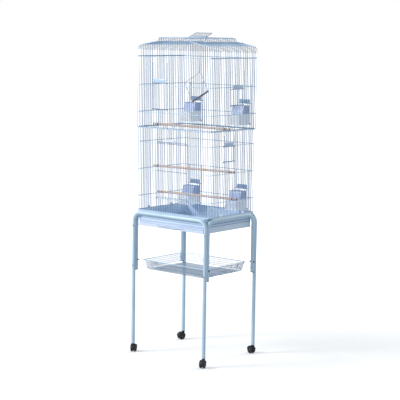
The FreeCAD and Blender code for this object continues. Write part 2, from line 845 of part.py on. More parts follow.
def wall_rods(wall, low, tops, bars, doorways):
    """Upright wires and level bars of a wall. tops gives each wire's top; bars is a list of
    (low, high, thickness) levels."""
    bar_n = float(bar_inner)
    rods = []
    for number in range(1 - wall.gaps // 2, wall.gaps // 2):
        u = number * wall.pitch
        gaps = [(way.low, way.top) for way in doorways if way.covers_wire(number)]
        for start, end in free_spans(low, tops(u), gaps):
            rods.append(wall.rod((u, 0, start), (u, 0, end), sizes.wire_diameter))
    reach = wall.half + (sizes.bar_size.value / 2 if wall.across else 0)
    for bar_low, bar_high in bars:
        thick = max(sizes.bar_size.value, bar_high - bar_low)
        gaps = [(way.left, way.right) for way in doorways if way.low < bar_low and way.top > bar_high]
        for start, end in free_spans(-reach, reach, gaps):
            rods.append(wall.block((start, end), (bar_n, bar_n + thick), (bar_low, bar_high)))
    bar = sizes.bar_size.value
    for way in doorways:
        for sill_low in (way.low - bar, way.top):
            rods.append(wall.block((way.left, way.right), (bar_n, bar_n + bar), (sill_low, sill_low + bar)))
    return rods


def corner_posts(wall, low, top):
    half = sizes.bar_size.value / 2
    return [wall.block((end * wall.half - half, end * wall.half + half), (0, float(bar_outer)),
                       (low, top)) for end in (-1, 1)]


def centred_bar(level):
    half = sizes.bar_size.value / 2
    return (float(level) - half, float(level) + half)


def guide_rods(way, travel):
    """Two upright rods that a lifting door runs on, held off the wall by a stub at each end."""
    wall = way.wall
    out = sizes.door_standoff.value
    overrun = sizes.guide_overrun.value
    low = way.low - overrun
    high = way.top + sizes.bar_size.value + travel.value + overrun
    rods = []
    for u in (way.left, way.right):
        rods.append(wall.rod((u, out, low), (u, out, high), sizes.guide_diameter))
        for z in (low, high):
            rods.append(wall.rod((u, 0, z), (u, out + sizes.guide_diameter.value / 2, z),
                                 sizes.guide_diameter))
    return rods


def eye(wall, centre, axis, diameter):
    """A wire eye that turns or slides on a rod of the given diameter."""
    bore = diameter / 2 + sizes.eye_clearance.value
    outer = bore + sizes.eye_wall.value
    half = sizes.eye_length.value / 2
    start = Vector(*centre) - axis * half
    end = Vector(*centre) + axis * half
    ring = wall.rod(tuple(start), tuple(end), 2 * outer)
    return ring.cut(wall.rod(tuple(start), tuple(end), 2 * bore))


def lifting_door(label, way):
    """A small door of upright wires that lifts on two guide rods, with a thumb tab on top."""
    wall = way.wall
    out = sizes.door_standoff.value
    bar = sizes.bar_size.value
    guide = sizes.guide_diameter.value
    start = guide / 2 + sizes.eye_clearance.value + 2 * sizes.weld_depth.value
    rods = []
    for level in (way.low, way.top):
        rods.append(wall.block((way.left + start, way.right - start), (out - bar / 2, out + bar / 2),
                               (level, level + bar)))
        for u in (way.left, way.right):
            rods.append(eye(wall, (u, out, level + bar / 2), Vector(0, 0, 1), guide))
    for number in range(way.first + 1, way.last):
        u = number * wall.pitch
        rods.append(wall.rod((u, out, way.low + 1), (u, out, way.top + bar - 1), sizes.wire_diameter))
    inset = (way.right - way.left) / 10
    half = sizes.tab_thickness.value / 2
    rods.append(wall.block((way.left + inset, way.right - inset), (out - half, out + half),
                           (way.top + bar, way.top + bar + sizes.tab_height.value)))
    wirework(label, rods)


def main_door_parts(way):
    """The hinge rod that the wall carries and the big front door that drops down on it."""
    wall = way.wall
    out = sizes.door_standoff.value
    bar = sizes.bar_size.value
    axis_z = way.low - bar / 2
    hinge = [wall.rod((way.left, out, axis_z), (way.right, out, axis_z), sizes.bar_size)]
    for u in (way.left, way.right):
        hinge.append(wall.rod((u, 0, axis_z), (u, out + bar / 2, axis_z), sizes.bar_size))

    side = way.right - sizes.main_door_inset.value
    top = way.top + sizes.main_door_overlap.value
    first_bar = axis_z + sizes.hinge_to_bar.value
    middle = float(tub_top + sizes.lower_band_2)
    ring = bar / 2 + sizes.eye_clearance.value
    rods = []
    for level in (first_bar, middle, top):
        rods.append(wall.block((-side, side), (out - bar / 2, out + bar / 2), (level, level + bar)))
    for end in (-1, 1):
        rods.append(wall.block((end * side - bar / 2, end * side + bar / 2),
                               (out - bar / 2, out + bar / 2),
                               (axis_z + ring + sizes.eye_wall.value / 2, top + bar)))
        rods.append(eye(wall, (end * side, out, axis_z), Vector(1, 0, 0), bar))
    for number in range(way.first + 1, way.last):
        u = number * wall.pitch
        rods.append(wall.rod((u, out, first_bar + 1), (u, out, top + bar - 1), sizes.wire_diameter))
    return hinge, rods, top + bar


def section_walls(half_x, half_y):
    return {side: Wall(side, half_x, half_y) for side in ("front", "back", "left", "right")}


def feeder_doorways(wall, sill):
    """The two openings in a back wall that feeder cups hang in."""
    top = sill + (sizes.feeder_height + sizes.feeder_door_spare).value
    near, far = FEEDER_WIRES
    return {"left": Doorway(wall, -far, -near, sill, top), "right": Doorway(wall, near, far, sill, top)}


def build_lower_section():
    low = float(tub_top)
    top = float(joint_level + sizes.section_lap)
    bar = sizes.bar_size.value
    bands = [centred_bar(tub_top + band)
             for band in (sizes.lower_band_1, sizes.lower_band_2, sizes.lower_band_3)]
    levels = [(low, low + bar), (top - bar, top)] + bands
    highest_band = bands[2][0]
    walls = section_walls(lower_half_x, lower_half_y)

    front = walls["front"]
    half_door = round(sizes.main_door_gaps.value)
    main_way = Doorway(front, -half_door, half_door, bands[0][1], highest_band)
    hinge, door_rods, door_top = main_door_parts(main_way)
    rods = wall_rods(front, low, lambda u: top, levels, [main_way]) + corner_posts(front, low, top)
    wirework("lower_front_wall", rods + hinge)
    wirework("front_main_door", door_rods)
    thickness = sizes.door_clip_thickness
    clip_y = -lower_half_y - sizes.door_standoff - thickness / 2
    clip = box(sizes.door_clip_width, thickness, sizes.door_clip_height,
               -sizes.door_clip_width / 2 - sizes.door_clip_offset, clip_y, door_top)
    finish("front_door_clip", round_edges(clip, CLIP_ROUND, is_vertical))

    back = walls["back"]
    ways = feeder_doorways(back, float(tub_top + sizes.lower_feeder_sill))
    rods = wall_rods(back, low, lambda u: top, levels, list(ways.values()))
    rods += corner_posts(back, low, top)
    for side, way in ways.items():
        rods += guide_rods(way, sizes.feeder_door_travel)
        lifting_door(f"feeder_door_lower_{side}", way)
        build_feeder(f"feeder_cup_lower_{side}", way, lower_half_y)
    wirework("lower_back_wall", rods)

    wirework("lower_left_wall", wall_rods(walls["left"], low, lambda u: top, levels, []))
    right = walls["right"]
    way_top = highest_band - sizes.lower_side_door_drop.value
    way_low = way_top - sizes.lower_side_door_height.value
    way = Doorway(right, *LOWER_SIDE_WIRES, way_low, way_top)
    lifting_door("side_door_lower", way)
    rods = wall_rods(right, low, lambda u: top, levels, [way])
    rods += guide_rods(way, sizes.lower_side_door_travel)
    wirework("lower_right_wall", rods)


# ---------------------------------------------------------------- roof outline

SKIRT_DEPTH = 20.0


def shoulder_radius():
    """Radius of the round that leaves the wall upright and passes the shoulder's top point."""
    inset = sizes.shoulder_inset.value
    rise = sizes.shoulder_top.value - sizes.shoulder_rise.value
    return (inset * inset + rise * rise) / (2 * inset)


def roof_corners():
    """Right half of the roof outline from the shoulder to the ridge, as (x, z) above the eaves."""
    half = upper_half_x.value
    return [
        (half - sizes.shoulder_inset.value, sizes.shoulder_top.value),
        (sizes.slope_half.value, sizes.slope_rise.value),
        (sizes.step_half.value, sizes.step_rise.value),
        (sizes.ridge_half.value, sizes.roof_rise.value),
        (0.0, sizes.roof_rise.value),
    ]


def roof_height(x):
    """Height of the outline above the eaves at x."""
    x = abs(x)
    corners = roof_corners()
    if x > corners[0][0]:
        radius = shoulder_radius()
        across = x - (upper_half_x.value - radius)
        return sizes.shoulder_rise.value + math.sqrt(radius * radius - across * across)
    for (outer_x, outer_z), (inner_x, inner_z) in zip(corners, corners[1:]):
        if x >= inner_x:
            share = (outer_x - x) / (outer_x - inner_x)
            return outer_z + share * (inner_z - outer_z)
    return sizes.roof_rise.value


def roof_ribbon(thickness, y_low, y_high):
    """The outline as a bent strip, square in section, between two depths."""
    half = upper_half_x.value
    eave = eave_level.value
    skirt = -SKIRT_DEPTH
    radius = shoulder_radius()
    corners = roof_corners()
    start = Vector(half, 0, eave + sizes.shoulder_rise.value)
    end = Vector(corners[0][0], 0, eave + corners[0][1])
    centre = Vector(half - radius, 0, start.z)
    middle_angle = (math.atan2(end.z - centre.z, end.x - centre.x)) / 2
    middle = centre + Vector(math.cos(middle_angle), 0, math.sin(middle_angle)) * radius

    def mirror(point):
        return Vector(-point.x, point.y, point.z)

    right = [Vector(x, 0, eave + z) for x, z in corners[:-1]]
    edges = [Part.makeLine(Vector(half, 0, eave + skirt), start), Part.Arc(start, middle, end).toShape()]
    edges += [Part.makeLine(a, b) for a, b in zip(right, right[1:])]
    edges.append(Part.makeLine(right[-1], mirror(right[-1])))
    left = [mirror(point) for point in reversed(right)]
    edges += [Part.makeLine(a, b) for a, b in zip(left, left[1:])]
    edges.append(Part.Arc(mirror(end), mirror(middle), mirror(start)).toShape())
    edges.append(Part.makeLine(mirror(start), Vector(-half, 0, eave + skirt)))
    edges.append(Part.makeLine(Vector(-half, 0, eave + skirt), Vector(half, 0, eave + skirt)))
    region = Part.Face(Part.Wire(edges))
    outer = region.makeOffset2D(thickness / 2)
    inner = region.makeOffset2D(-thickness / 2)
    strip = outer.cut(inner)
    strip.translate(Vector(0, y_low, 0))
    solid = strip.extrude(Vector(0, y_high - y_low, 0))
    below = block_shape(Vector(-2 * half, y_low - 1, eave + 2 * skirt), Vector(2 * half, y_high + 1, eave))
    return solid.cut(below)


def build_upper_section():
    ring_half = sizes.ring_size.value / 2
    joint = float(joint_level)
    low = joint - ring_half
    eave = float(eave_level)
    bar = sizes.bar_size.value
    levels = [(low, low + sizes.ring_size.value), (eave - bar, eave)]
    for band in (sizes.upper_band_1, sizes.upper_band_2):
        levels.append(centred_bar(joint_level + band))
    walls = section_walls(upper_half_x, upper_half_y)

    def gable_top(u):
        return eave + roof_height(u) - sizes.weld_depth.value

    def gable_ribbon(wall):
        faces = sorted((wall.point(0, float(bar_inner), 0).y, wall.point(0, float(bar_outer), 0).y))
        return roof_ribbon(bar, faces[0], faces[1])

    front = walls["front"]
    sill = joint + sizes.front_door_low.value
    way = Doorway(front, *FRONT_DOOR_WIRES, sill, sill + sizes.front_door_height.value)
    lifting_door("front_upper_door", way)
    rods = wall_rods(front, low, gable_top, levels, [way]) + corner_posts(front, low, eave)
    rods += guide_rods(way, sizes.front_door_travel)
    rods.append(gable_ribbon(front))
    wirework("upper_front_wall", rods)

    back = walls["back"]
    ways = feeder_doorways(back, joint + sizes.upper_feeder_sill.value)
    rods = wall_rods(back, low, gable_top, levels, list(ways.values()))
    rods += corner_posts(back, low, eave)
    rods.append(gable_ribbon(back))
    for side, way in ways.items():
        rods += guide_rods(way, sizes.feeder_door_travel)
        lifting_door(f"feeder_door_upper_{side}", way)
        build_feeder(f"feeder_cup_upper_{side}", way, upper_half_y)
    wirework("upper_back_wall", rods)

    wirework("upper_left_wall", wall_rods(walls["left"], low, lambda u: eave, levels, []))
    right = walls["right"]
    sill = joint + sizes.upper_side_door_low.value
    way = Doorway(right, *UPPER_SIDE_WIRES, sill, sill + sizes.upper_side_door_height.value)
    lifting_door("side_door_upper", way)
    rods = wall_rods(right, low, lambda u: eave, levels, [way])
    rods += guide_rods(way, sizes.upper_side_door_travel)
    wirework("upper_right_wall", rods)


def build_roof():
    """Bent wires over the cage, tied by long bars, with an opening for the hatch."""
    eave = float(eave_level)
    ridge = float(ridge_level)
    bar = sizes.bar_size.value
    wire = sizes.wire_diameter.value
    inner = float(bar_inner)
    outer = float(bar_outer)
    depth = float(upper_half_y) + inner
    side = Wall("right", upper_half_x, upper_half_y)
    front = Wall("front", upper_half_x, upper_half_y)
    hatch_bar = sizes.hatch_frame_gaps.value * front.pitch
    ridge_bar = sizes.ridge_half.value - sizes.ridge_bar_margin.value
    hinge_y = sizes.hatch_hinge_y.value
    hinge_z = ridge + sizes.hatch_hinge_rise.value
    pin = sizes.hatch_pin.value
    hatch_end = hinge_y + sizes.hatch_length.value
    weld = sizes.weld_depth.value
    end_inset = sizes.ridge_bar_inset.value
    solid_rods = []
    for number in range(1 - side.gaps // 2, side.gaps // 2):
        y = number * side.pitch
        strand = roof_ribbon(wire, y - wire / 2, y + wire / 2)
        if hinge_y < y < hatch_end:
            mouth = block_shape(Vector(-hatch_bar, y - bar, ridge - 2 * bar),
                                Vector(hatch_bar, y + bar, ridge + bar))
            strand = strand.cut(mouth)
            solid_rods += strand.Solids
        else:
            solid_rods.append(strand)
    for sign in (-1, 1):
        eave_x = sorted((sign * (upper_half_x.value + inner), sign * (upper_half_x.value + outer)))
        solid_rods.append(block_shape(Vector(eave_x[0], -depth, eave), Vector(eave_x[1], depth, eave + bar)))
        slope_x = sign * sizes.slope_half.value
        slope_z = eave + sizes.slope_rise.value + inner
        solid_rods.append(block_shape(Vector(slope_x - bar / 2, -depth, slope_z),
                                      Vector(slope_x + bar / 2, depth, slope_z + bar)))
        for x in (sign * hatch_bar, sign * ridge_bar):
            solid_rods.append(block_shape(Vector(x - bar / 2, end_inset - depth, ridge - outer),
                                          Vector(x + bar / 2, depth - end_inset, ridge - inner)))
        solid_rods.append(rod_between(Vector(sign * hatch_bar, hinge_y, ridge - outer + weld),
                                      Vector(sign * hatch_bar, hinge_y, hinge_z + pin / 2), pin))
    solid_rods.append(rod_between(Vector(-hatch_bar, hinge_y, hinge_z),
                                  Vector(hatch_bar, hinge_y, hinge_z), pin))
    wirework("roof", solid_rods)


def build_hatch():
    """A small wire flap in the roof, drawn shut and then lifted to its resting angle."""
    bar = sizes.bar_size.value
    half = sizes.hatch_width.value / 2 - bar / 2
    hinge_y = sizes.hatch_hinge_y.value
    level = float(ridge_level + sizes.hatch_hinge_rise)
    front = Wall("front", upper_half_x, upper_half_y)
    bore = sizes.hatch_pin.value / 2 + sizes.eye_clearance.value
    near = hinge_y + bore + sizes.eye_wall.value / 2
    far = hinge_y + sizes.hatch_length.value
    rods = []
    for low_y in (near + bar, far - bar):
        rods.append(block_shape(Vector(-half, low_y, level - bar / 2),
                                Vector(half, low_y + bar, level + bar / 2)))
    for sign in (-1, 1):
        x = sign * half
        rods.append(block_shape(Vector(x - bar / 2, near, level - bar / 2),
                                Vector(x + bar / 2, far, level + bar / 2)))
        eye_half = sizes.eye_length.value / 2
        start = Vector(x - eye_half, hinge_y, level)
        end = Vector(x + eye_half, hinge_y, level)
        ring = rod_between(start, end, 2 * (bore + sizes.eye_wall.value))
        rods.append(ring.cut(rod_between(start, end, 2 * bore)))
    count = round(2 * half / front.pitch)
    for i in range(1, count):
        x = -half + 2 * half * i / count
        rods.append(rod_between(Vector(x, near + bar + 1, level), Vector(x, far - 1, level),
                                sizes.wire_diameter))
    hatch = wirework("roof_hatch", rods)
    lift = Rotation(Vector(1, 0, 0), sizes.hatch_rest_angle.value)
    hatch.Placement = Placement(Vector(), lift, Vector(0, hinge_y, level))


# ---------------------------------------------------------------- feeders

def build_feeder(label, way, half_y):
    """A hooded cup that hangs on the sill of its doorway; its open back is for refilling."""
    middle = (way.left + way.right) / 2
    half = sizes.feeder_width / 2
    wall = sizes.feeder_wall
    back = half_y - wire_radius - sizes.wall_gap
    front = back - sizes.feeder_depth
    hood_front = back - sizes.hood_depth
    low = way.low - sizes.feeder_hang
    hood = box(sizes.feeder_width, sizes.hood_depth, sizes.feeder_height, middle - half, hood_front, low)
    front_top = round(float(low) + sizes.feeder_height.value, 3)
    hood = round_edges(hood, sizes.feeder_corner, lambda edge: (
        edge.BoundBox.XLength > 10
        and abs(edge.CenterOfMass.y - float(hood_front)) < 0.01
        and abs(edge.CenterOfMass.z - front_top) < 0.01))
    bowl = box(sizes.feeder_width, sizes.feeder_depth, sizes.feeder_mouth, middle - half, front, low)
    bowl = round_edges(bowl, sizes.feeder_corner, lambda edge: (
        is_vertical(edge) and edge.CenterOfMass.y < float(hood_front)))
    hook_top = way.low + sizes.slide_gap
    hook_out = half_y + bar_outer + sizes.wall_gap
    hooks = []
    for end in (-1, 1):
        x = middle + end * sizes.hook_spacing / 2 - sizes.hook_width / 2
        hooks.append(box(sizes.hook_width, hook_out + wall - back, wall, x, back, hook_top))
        hooks.append(box(sizes.hook_width, wall, wall + sizes.hook_drop, x, hook_out,
                         hook_top - sizes.hook_drop))
    outer = fuse([hood, bowl] + hooks)
    inner_width = sizes.feeder_width - 2 * wall
    hood_room = box(inner_width, sizes.hood_depth - 2 * wall, sizes.feeder_height - 2 * wall,
                    middle - half + wall, hood_front + wall, low + wall)
    bowl_room = box(inner_width, sizes.feeder_depth - sizes.hood_depth + wall,
                    sizes.hood_lip - wall, middle - half + wall, front + wall, low + wall)
    mouth = box(inner_width, 3 * wall, sizes.hood_lip - wall, middle - half + wall,
                hood_front - wall, low + wall)
    filler = box(inner_width, 3 * wall, sizes.feeder_height - sizes.feeder_mouth - wall,
                 middle - half + wall, back - 2 * wall, low + sizes.feeder_mouth)
    finish(label, cut(outer, [hood_room, bowl_room, mouth, filler]))


# ---------------------------------------------------------------- perches, swing and clips

# Where each perch passes through the left and right walls, in gaps from the middle.
TOP_PERCH_GAPS = (-3.5, -3.5)
MIDDLE_PERCH_GAPS = (-3.5, 0.5)
BOTTOM_PERCH_GAPS = (-0.5, 2.5)


def build_perches():
    """Wooden dowels whose thin ends pass between side wires and carry a black cap outside."""
    side_lower = 2 * lower_half_y / sizes.side_gaps
    side_upper = 2 * upper_half_y / sizes.side_gaps
    rest = sizes.tenon_diameter / 2 + sizes.slide_gap
    on_bar = sizes.bar_size / 2 + rest
    perches = {
        "perch_top": (upper_half_x, side_upper, TOP_PERCH_GAPS, joint_level + sizes.section_lap + rest),
        "perch_middle": (lower_half_x, side_lower, MIDDLE_PERCH_GAPS, tub_top + sizes.lower_band_2 + on_bar),
        "perch_bottom": (lower_half_x, side_lower, BOTTOM_PERCH_GAPS, tub_top + sizes.lower_band_1 + on_bar),
    }
    caps = []
    for label, (half, pitch, (left_gap, right_gap), level) in perches.items():
        skew = math.degrees(math.atan2((right_gap - left_gap) * float(pitch), 2 * float(half)))
        stretch = 1 / math.cos(math.radians(skew))
        dowel_half = (lower_half_x - wire_radius - sizes.perch_end_gap) * stretch
        end_half = (half + sizes.tenon_reach) * stretch
        cap_start = end_half - sizes.perch_cap_length
        dowel = fuse([
            cylinder(sizes.perch_diameter, 2 * dowel_half, -dowel_half, 0, 0, "x"),
            cylinder(sizes.tenon_diameter, 2 * end_half, -end_half, 0, 0, "x"),
        ])
        ends = []
        for start in (-end_half, cap_start):
            ends.append(cut(
                cylinder(sizes.perch_diameter, sizes.perch_cap_length, start, 0, 0, "x"),
                [cylinder(sizes.tenon_diameter, sizes.perch_cap_length, start, 0, 0, "x")]))
        pair = doc.addObject("Part::Compound", label + "_caps")
        pair.Links = ends
        stick = doc.addObject("Part::Compound", label + "_placed")
        stick.Links = [dowel]
        for piece in (pair, stick):
            piece.Placement = Placement(Vector(), Rotation(Vector(0, 0, 1), skew))
            place(piece, 0, pitch * ((left_gap + right_gap) / 2), level)
        caps.append(pair)
        finish(label, stick)
    group = doc.addObject("Part::Compound", "perch_caps_group")
    group.Links = caps
    finish("perch_end_caps", group)


def build_swing():
    """A swing hanging askew: its long hook holds one top corner of the wire stirrup."""
    wire = sizes.swing_wire.value
    tilt = math.radians(sizes.swing_tilt.value)
    along = Vector(math.cos(tilt), 0, math.sin(tilt))
    up = Vector(-math.sin(tilt), 0, math.cos(tilt))
    middle = Vector(sizes.swing_offset.value, 0, float(tub_top) + sizes.swing_height.value)
    half = sizes.swing_width.value / 2
    leg = sizes.swing_leg.value
    radius = sizes.swing_perch_diameter.value / 2
    roof_wire = Vector(middle.x, 0, float(ridge_level))
    feet = [middle + along * (side * half) for side in (-1, 1)]
    tops = [foot + up * leg for foot in feet]
    ring_radius = sizes.swing_ring_diameter.value / 2
    hook_end = roof_wire - Vector(0, 0, ring_radius - 2 * sizes.weld_depth.value)
    corner = sizes.swing_corner.value
    rods = [
        rod_between(feet[0] - up * radius, tops[0] + up * corner, wire),
        rod_between(feet[1] - up * radius, tops[1] + up * corner, wire),
        rod_between(tops[0] - along * corner, tops[1] + along * corner, wire),
        rod_between(tops[1] - up, hook_end, wire),
    ]
    thickness = sizes.swing_ring_thickness.value
    start = roof_wire - Vector(thickness / 2, 0, 0)
    ring = Part.makeCylinder(ring_radius, thickness, start, Vector(1, 0, 0))
    bore = Part.makeCylinder(sizes.swing_ring_bore.value / 2, thickness, start, Vector(1, 0, 0))
    rods.append(ring.cut(bore))
    wirework("swing_stirrup", rods)
    length = 2 * half - wire
    perch = doc.addObject("Part::Cylinder", "SwingPerch")
    bind(perch, Radius=sizes.swing_perch_diameter / 2, Height=sizes.swing_width - sizes.swing_wire)
    begin = middle - along * (length / 2)
    perch.Placement = Placement(begin, Rotation(Vector(0, 0, 1), along))
    finish("swing_perch", perch)


BASE_CLIP_GAP = 7.5


def build_clips():
    """Spring clips that hold the upper section on the lower one and the cage on its tub."""
    lower = section_walls(lower_half_x, lower_half_y)
    upper = section_walls(upper_half_x, upper_half_y)
    step = sizes.section_step.value
    ring = sizes.ring_size.value
    joint = float(joint_level)
    clip_half = sizes.clip_width.value / 2
    metal = sizes.clip_sheet.value
    rise = sizes.clip_rise.value
    overlap = sizes.clip_overlap.value
    ring_outer = step + float(bar_inner) + ring
    joint_clips = []
    for side, wall in lower.items():
        middle = 0.5 * upper[side].pitch
        span = (middle - clip_half, middle + clip_half)
        over = wall.block(span, (float(bar_outer), ring_outer + metal),
                          (joint + ring / 2, joint + ring / 2 + rise))
        down = wall.block(span, (ring_outer, ring_outer + metal),
                          (joint - ring / 2 - overlap, joint + ring / 2 + rise))
        joint_clips.append(over.fuse(down))
    base_clips = []
    low = float(tub_top)
    top = low + sizes.base_clip_height.value
    bar = sizes.bar_size.value
    outer = float(bar_outer)
    for side in ("left", "right"):
        wall = lower[side]
        for gap in (-BASE_CLIP_GAP, BASE_CLIP_GAP):
            middle = gap * wall.pitch
            span = (middle - clip_half, middle + clip_half)
            upright = wall.block(span, (outer, outer + sizes.base_clip_depth.value), (low, top))
            lip = wall.block(span, (float(bar_inner) + overlap, outer), (low + bar, top))
            base_clips.append(upright.fuse(lip))
    for label, clips in (("section_clips", joint_clips), ("base_clips", base_clips)):
        group = doc.addObject("Part::Feature", label + "_group")
        group.Shape = Part.makeCompound(clips)
        group.Placement = Placement()
        finish(label, group)


# ---------------------------------------------------------------- build, check and write

def check_document():
    for thing in doc.Objects:
        if "Invalid" in thing.State or "Error" in thing.State:
            raise RuntimeError(f"{thing.Name} ({thing.Label}) is {thing.State}")
    for label, thing in finished.items():
        if thing.Shape.isNull() or not thing.Shape.isValid():
            raise RuntimeError(f"{label} has no valid shape")
        if not thing.Shape.Solids:
            raise RuntimeError(f"{label} has no solid")


def main():
    build_stand()
    build_stand_fasteners()
    build_casters()
    build_basket()
    build_tub()
    build_lower_section()
    build_upper_section()
    build_roof()
    build_hatch()
    build_perches()
    build_swing()
    build_clips()
    doc.recompute()
    check_document()
    os.makedirs("parts", exist_ok=True)
    for label, thing in finished.items():
        thing.Shape.exportStep(f"parts/{label}.step")
        print(f"{label}: {len(thing.Shape.Solids)} solid(s), {thing.Shape.Volume:.0f} mm3")
    print(f"{len(finished)} sub-parts written")


main()
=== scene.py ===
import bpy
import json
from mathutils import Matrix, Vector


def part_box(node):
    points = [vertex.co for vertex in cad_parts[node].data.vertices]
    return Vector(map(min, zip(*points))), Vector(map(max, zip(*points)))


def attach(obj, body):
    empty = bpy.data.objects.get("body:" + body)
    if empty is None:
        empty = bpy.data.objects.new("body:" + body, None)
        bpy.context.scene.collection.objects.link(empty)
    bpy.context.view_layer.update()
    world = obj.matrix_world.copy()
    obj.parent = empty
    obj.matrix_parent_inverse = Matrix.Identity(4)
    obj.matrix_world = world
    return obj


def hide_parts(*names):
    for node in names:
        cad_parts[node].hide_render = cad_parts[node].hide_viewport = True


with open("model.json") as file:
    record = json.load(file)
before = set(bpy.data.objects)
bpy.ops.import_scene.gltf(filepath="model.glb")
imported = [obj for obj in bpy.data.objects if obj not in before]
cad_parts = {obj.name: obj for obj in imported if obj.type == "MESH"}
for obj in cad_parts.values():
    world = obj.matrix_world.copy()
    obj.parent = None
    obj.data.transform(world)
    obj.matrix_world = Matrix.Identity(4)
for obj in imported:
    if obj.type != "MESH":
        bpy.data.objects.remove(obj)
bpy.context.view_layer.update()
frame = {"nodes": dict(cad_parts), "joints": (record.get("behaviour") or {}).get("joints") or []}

import json
import math

import bmesh
import bpy
from mathutils import Matrix, Vector

# Metres throughout. The cage stands in the frame's own axes: +X right, +Y back, +Z up.

ROOT = "stand_and_cage"
CORNERS = {"front_left": (-1, -1), "front_right": (1, -1), "back_left": (-1, 1), "back_right": (1, 1)}
JOINTS = {joint["name"]: joint for joint in frame["joints"]}

X, Y, Z = Vector((1, 0, 0)), Vector((0, 1, 0)), Vector((0, 0, 1))

# Radii of the thin wires and of the thicker bars, and how far the bars' middles lie outside the
# wires' middles.
WIRE = 0.0010
BAR = 0.0015
BAR_OUT = 0.0021


# ---------------------------------------------------------------- building meshes

class Bag:
    """Points and faces of a piece that is being put together."""

    def __init__(self):
        self.points = []
        self.faces = []

    def add(self, points, faces):
        start = len(self.points)
        self.points += [Vector(point) for point in points]
        self.faces += [tuple(start + i for i in face) for face in faces]

    def take(self, mesh, place=Matrix.Identity(4)):
        """Adds a bmesh and frees it."""
        mesh.verts.index_update()
        self.add([place @ vert.co for vert in mesh.verts],
                 [[vert.index for vert in face.verts] for face in mesh.faces])
        mesh.free()


def rounded(corners, radius, steps=6, closed=False):
    """The path through the corners, with each corner turned on an arc."""
    path = []
    count = len(corners)
    for i, corner in enumerate(corners):
        before = corners[i - 1] - corner
        after = corners[(i + 1) % count] - corner
        is_end = not closed and i in (0, count - 1)
        turn = 0 if is_end else math.pi - before.angle(after)
        if turn < 0.01:
            path.append(corner)
            continue
        back = min(radius * math.tan(turn / 2), 0.49 * before.length, 0.49 * after.length)
        bend = back / math.tan(turn / 2)
        inward = (before.normalized() + after.normalized()).normalized()
        centre = corner + inward * (bend / math.cos(turn / 2))
        start = corner + before.normalized() * back - centre
        end = corner + after.normalized() * back - centre
        for step in range(steps + 1):
            share = step / steps
            arm = start * math.sin((1 - share) * turn) + end * math.sin(share * turn)
            path.append(centre + arm / math.sin(turn))
    return path


def rectangle(half_x, half_y, z):
    """The corners of a level rectangle about the middle."""
    return [Vector((sx * half_x, sy * half_y, z)) for sx, sy in ((-1, -1), (1, -1), (1, 1), (-1, 1))]


def circle(centre, first, second, radius, count):
    """Points round a centre, from the first direction towards the second."""
    turns = [2 * math.pi * k / count for k in range(count)]
    return [centre + first * (radius * math.cos(turn)) + second * (radius * math.sin(turn)) for turn in turns]


def wire(bag, path, radius, sides=8, closed=False):
    """A round wire along a path, with slightly domed ends."""
    count = len(path)
    side = (path[1] - path[0]).orthogonal().normalized()
    rings = []
    for i, point in enumerate(path):
        ahead = path[(i + 1) % count] - point if closed or i < count - 1 else point - path[i - 1]
        behind = point - path[i - 1] if closed or i > 0 else ahead
        along = (ahead.normalized() + behind.normalized()).normalized()
        side = (side - along * side.dot(along)).normalized()
        rings.append((point, along, side, radius))
    if not closed:
        dome = 0.45 * radius
        first, last = rings[0], rings[-1]
        rings.insert(0, (first[0] - first[1] * dome * 0.5, first[1], first[2], 0.62 * radius))
        rings.append((last[0] + last[1] * dome * 0.5, last[1], last[2], 0.62 * radius))
    points = []
    for point, along, across, reach in rings:
        other = along.cross(across)
        for k in range(sides):
            angle = 2 * math.pi * k / sides
            points.append(point + across * (reach * math.cos(angle)) + other * (reach * math.sin(angle)))
    faces = []
    number = len(rings)
    for i in range(number if closed else number - 1):
        low = i * sides
        high = (i + 1) % number * sides
        faces += [(low + k, low + (k + 1) % sides, high + (k + 1) % sides, high + k) for k in range(sides)]
    if not closed:
        faces.append(tuple(reversed(range(sides))))
        faces.append(tuple(range((number - 1) * sides, number * sides)))
    bag.add(points, faces)


def lathe(bag, profile, place=Matrix.Identity(4), sides=32):
    """Turns a profile of (radius, height) points about Z; a radius of 0 closes the end."""
    points = []
    rows = []
    for radius, height in profile:
        row = []
        turns = 1 if radius == 0 else sides
        for k in range(turns):
            angle = 2 * math.pi * k / sides
            row.append(len(points))
            points.append(place @ Vector((radius * math.cos(angle), radius * math.sin(angle), height)))
        rows.append(row)
    faces = []
    for low, high in zip(rows, rows[1:]):
        for k in range(sides):
            after = (k + 1) % sides
            corners = [low[k % len(low)], low[after % len(low)], high[after % len(high)], high[k % len(high)]]
            face = list(dict.fromkeys(corners))
            if len(face) > 2:
                faces.append(face)
    bag.add(points, faces)


def block(bag, low, high, round_by=0.0005, segments=2, place=Matrix.Identity(4)):
    """A block between two corners with rounded edges."""
    mesh = bmesh.new()
    bmesh.ops.create_cube(mesh, size=1)
    span = Vector(high) - Vector(low)
    middle = (Vector(high) + Vector(low)) / 2
    for vert in mesh.verts:
        vert.co = Vector((vert.co.x * span.x, vert.co.y * span.y, vert.co.z * span.z)) + middle
    round_by = min(round_by, 0.45 * min(span))
    bmesh.ops.bevel(mesh, geom=mesh.edges[:], offset=round_by, segments=segments, profile=0.5,
                    affect="EDGES")
    bag.take(mesh, place)


def make_piece(name, bag, material, body, replaces=()):
    """Turns a bag into an object that rides on a body and stands for CAD nodes."""
    data = bpy.data.meshes.new(name)
    data.from_pydata(bag.points, [], bag.faces)
    data.validate()
    mesh = bmesh.new()
    mesh.from_mesh(data)
    bmesh.ops.recalc_face_normals(mesh, faces=mesh.faces[:])
    mesh.to_mesh(data)
    mesh.free()
    return dress(bpy.data.objects.new(name, data), material, body, replaces)


